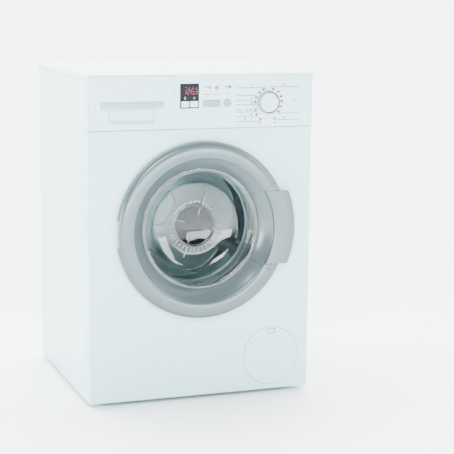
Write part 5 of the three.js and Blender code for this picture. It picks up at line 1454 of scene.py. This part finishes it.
# %% Feet
def foot_mesh(node):
    """A rubber pad with its lock nut, and the threaded stud above it."""
    low, high = span(node)
    x, y = (low.x + high.x) / 2, (low.y + high.y) / 2
    pad = upright("pad", [(0, 0.05), (20.6, 0.05), (21.6, 0.8), (21.8, 2.6), (20.8, 5.6), (18.0, 6.9),
                          (13, 7.1), (0, 7.1)], 40, x, y)
    stud_profile = [(0, 7.0)]
    z = 7.0
    while z < high.z - 1.5:
        stud_profile += [(4.3, z), (4.95, z + 0.6)]
        z += 1.25
    stud_profile += [(4.2, high.z - 0.4), (3.2, high.z), (0, high.z)]
    stud = upright("stud", stud_profile, 20, x, y)
    nut = slab("nut", [circle(12.6, 6, x, y)], 7.2, 11.6, 0.4)
    return joined(node + "_skin", [pad, nut]), stud


for node in ("foot_front_left", "foot_front_right", "foot_rear_left", "foot_rear_right"):
    pad_mesh, stud_mesh = foot_mesh(node)
    piece(node + "_pad", pad_mesh, BLACK, node, [node])
    piece(node + "_stud", stud_mesh, THREAD, node)
print("feet done")

# %% [markdown]
# ## Parts kept from the frame
#
# The hidden works keep their own shapes and take a finish each.

# %% Finishes for the kept parts
BY_SLOT = {
    "white_steel": ENAMEL, "white_plastic": WHITE, "silver_plastic": SILVER, "grey_plastic": TUB_GREY,
    "dark_plastic": DARK, "display_glass": SMOKED, "clear_glass": GLASS, "stainless": STAINLESS,
    "bearing_steel": CAST, "zinc": GALVANISED, "cast": CAST, "grey_rubber": SEAL, "black_rubber": BLACK,
    "concrete": CONCRETE, "board": BOARD,
}
slot_of = {row["node"]: row["material_slot"] for row in frame["record"]["subparts"]}
kept = 0
for node, item in frame["nodes"].items():
    if not item.hide_render:
        item.data.materials.clear()
        item.data.materials.append(BY_SLOT[slot_of[node]])
        kept += 1
print("kept parts:", kept)

# %% [markdown]
# ## Studio
#
# A pale floor that runs to the horizon, a broad light above the left front and a wide fill.

# %% Floor, lights and camera
WORLD_FRONT = (0.26, 0.29, 0.30)  # what the machine's front sees
WORLD_BACK = (13.0, 13.3, 13.4)   # the bright backdrop behind it
FLOOR_REACH = 400                 # metres, so that its far edge meets the horizon
LENS = 112.99                     # millimetres, on a sensor 36 wide
VIEW_TURN = -19.834               # degrees from straight ahead, to the left
VIEW_RISE = 9.999                 # degrees above level
VIEW_ROLL = 0.559                 # degrees round the line of sight
VIEW_PLACE = (-1.15902, -3.40073, 1.07971)  # metres from the front panel's lower edge


def studio():
    ground = bpy.data.materials.new("pale_floor")
    ground.use_nodes = True
    tree = ground.node_tree
    shader = tree.nodes["Principled BSDF"]
    where = tree.nodes.new("ShaderNodeTexCoord")
    cloud = add(tree, "ShaderNodeTexNoise", Vector=where.outputs["Object"], Scale=3.0, Detail=3.0)
    colour = add(tree, "ShaderNodeMix", {"data_type": "RGBA"}, i0=cloud.outputs[0],
                 i6=tone(250, 251, 251), i7=tone(246, 248, 248))
    tree.links.new(colour.outputs[2], shader.inputs["Base Color"])
    shader.inputs["Roughness"].default_value = 0.7
    mesh = bpy.data.meshes.new("floor")
    reach = FLOOR_REACH
    mesh.from_pydata([(-reach, -reach, 0), (reach, -reach, 0), (reach, reach, 0), (-reach, reach, 0)], [],
                     [(0, 1, 2, 3)])
    mesh.materials.append(ground)
    floor = bpy.data.objects.new("floor", mesh)
    bpy.context.scene.collection.objects.link(floor)
    world = bpy.data.worlds.new("studio")
    bpy.context.scene.world = world
    world.use_nodes = True
    tree = world.node_tree
    back = tree.nodes["Background"]
    where = tree.nodes.new("ShaderNodeTexCoord")
    way = add(tree, "ShaderNodeSeparateXYZ", i0=where.outputs["Generated"])
    behind = add(tree, "ShaderNodeMapRange", i0=way.outputs[1], i1=-0.25, i2=0.45, i3=0.0, i4=1.0)
    shade = add(tree, "ShaderNodeMix", {"data_type": "RGBA"}, i0=behind.outputs[0],
                i6=(*WORLD_FRONT, 1.0), i7=(*WORLD_BACK, 1.0))
    tree.links.new(shade.outputs[2], back.inputs["Color"])
    back.inputs["Strength"].default_value = 1.0


def area_light(name, place, aim, size, power, colour):
    """A soft box at a place, turned to face a point."""
    data = bpy.data.lights.new(name, "AREA")
    data.shape = "RECTANGLE"
    data.size, data.size_y = size
    data.energy = power
    data.color = colour
    item = bpy.data.objects.new(name, data)
    bpy.context.scene.collection.objects.link(item)
    item.location = place
    item.rotation_mode = "QUATERNION"
    item.rotation_quaternion = (Vector(aim) - Vector(place)).to_track_quat("-Z", "Y")


def camera():
    data = bpy.data.cameras.new("camera")
    data.sensor_width = 36.0
    data.lens = LENS
    data.clip_start, data.clip_end = 0.05, 200.0
    item = bpy.data.objects.new("camera", data)
    bpy.context.scene.collection.objects.link(item)
    a, e, roll = math.radians(VIEW_TURN), math.radians(VIEW_RISE), math.radians(VIEW_ROLL)
    back = Vector((math.sin(a) * math.cos(e), -math.cos(a) * math.cos(e), math.sin(e)))
    right = (-back).cross(Vector((0, 0, 1))).normalized()
    up = right.cross(-back)
    x = right * math.cos(roll) + up * math.sin(roll)
    y = up * math.cos(roll) - right * math.sin(roll)
    turn = Matrix((x, y, back)).transposed().to_4x4()
    place = Vector(VIEW_PLACE) + Vector((0, FRONT * MM, panel_low.z * MM))
    item.matrix_world = Matrix.Translation(place) @ turn
    bpy.context.scene.camera = item


studio()
area_light("key", (-1.0, -3.0, 2.5), (0, -0.2, 0.45), (2.0, 1.4), 250, (0.96, 1.0, 1.0))
area_light("fill", (2.4, -2.8, 1.2), (0, -0.2, 0.5), (0.9, 2.0), 80, (0.95, 1.0, 1.0))
area_light("low", (0.3, -3.6, 0.30), (0, -0.2, 0.45), (2.4, 0.4), 50, (0.95, 1.0, 1.0))
area_light("strip", (-3.0, -1.25, 0.75), (0, -0.27, 0.45), (0.28, 1.1), 40, (1.0, 1.0, 1.0))
camera()
print("studio ready")

# %% Finish
print("pieces made:", len(made))
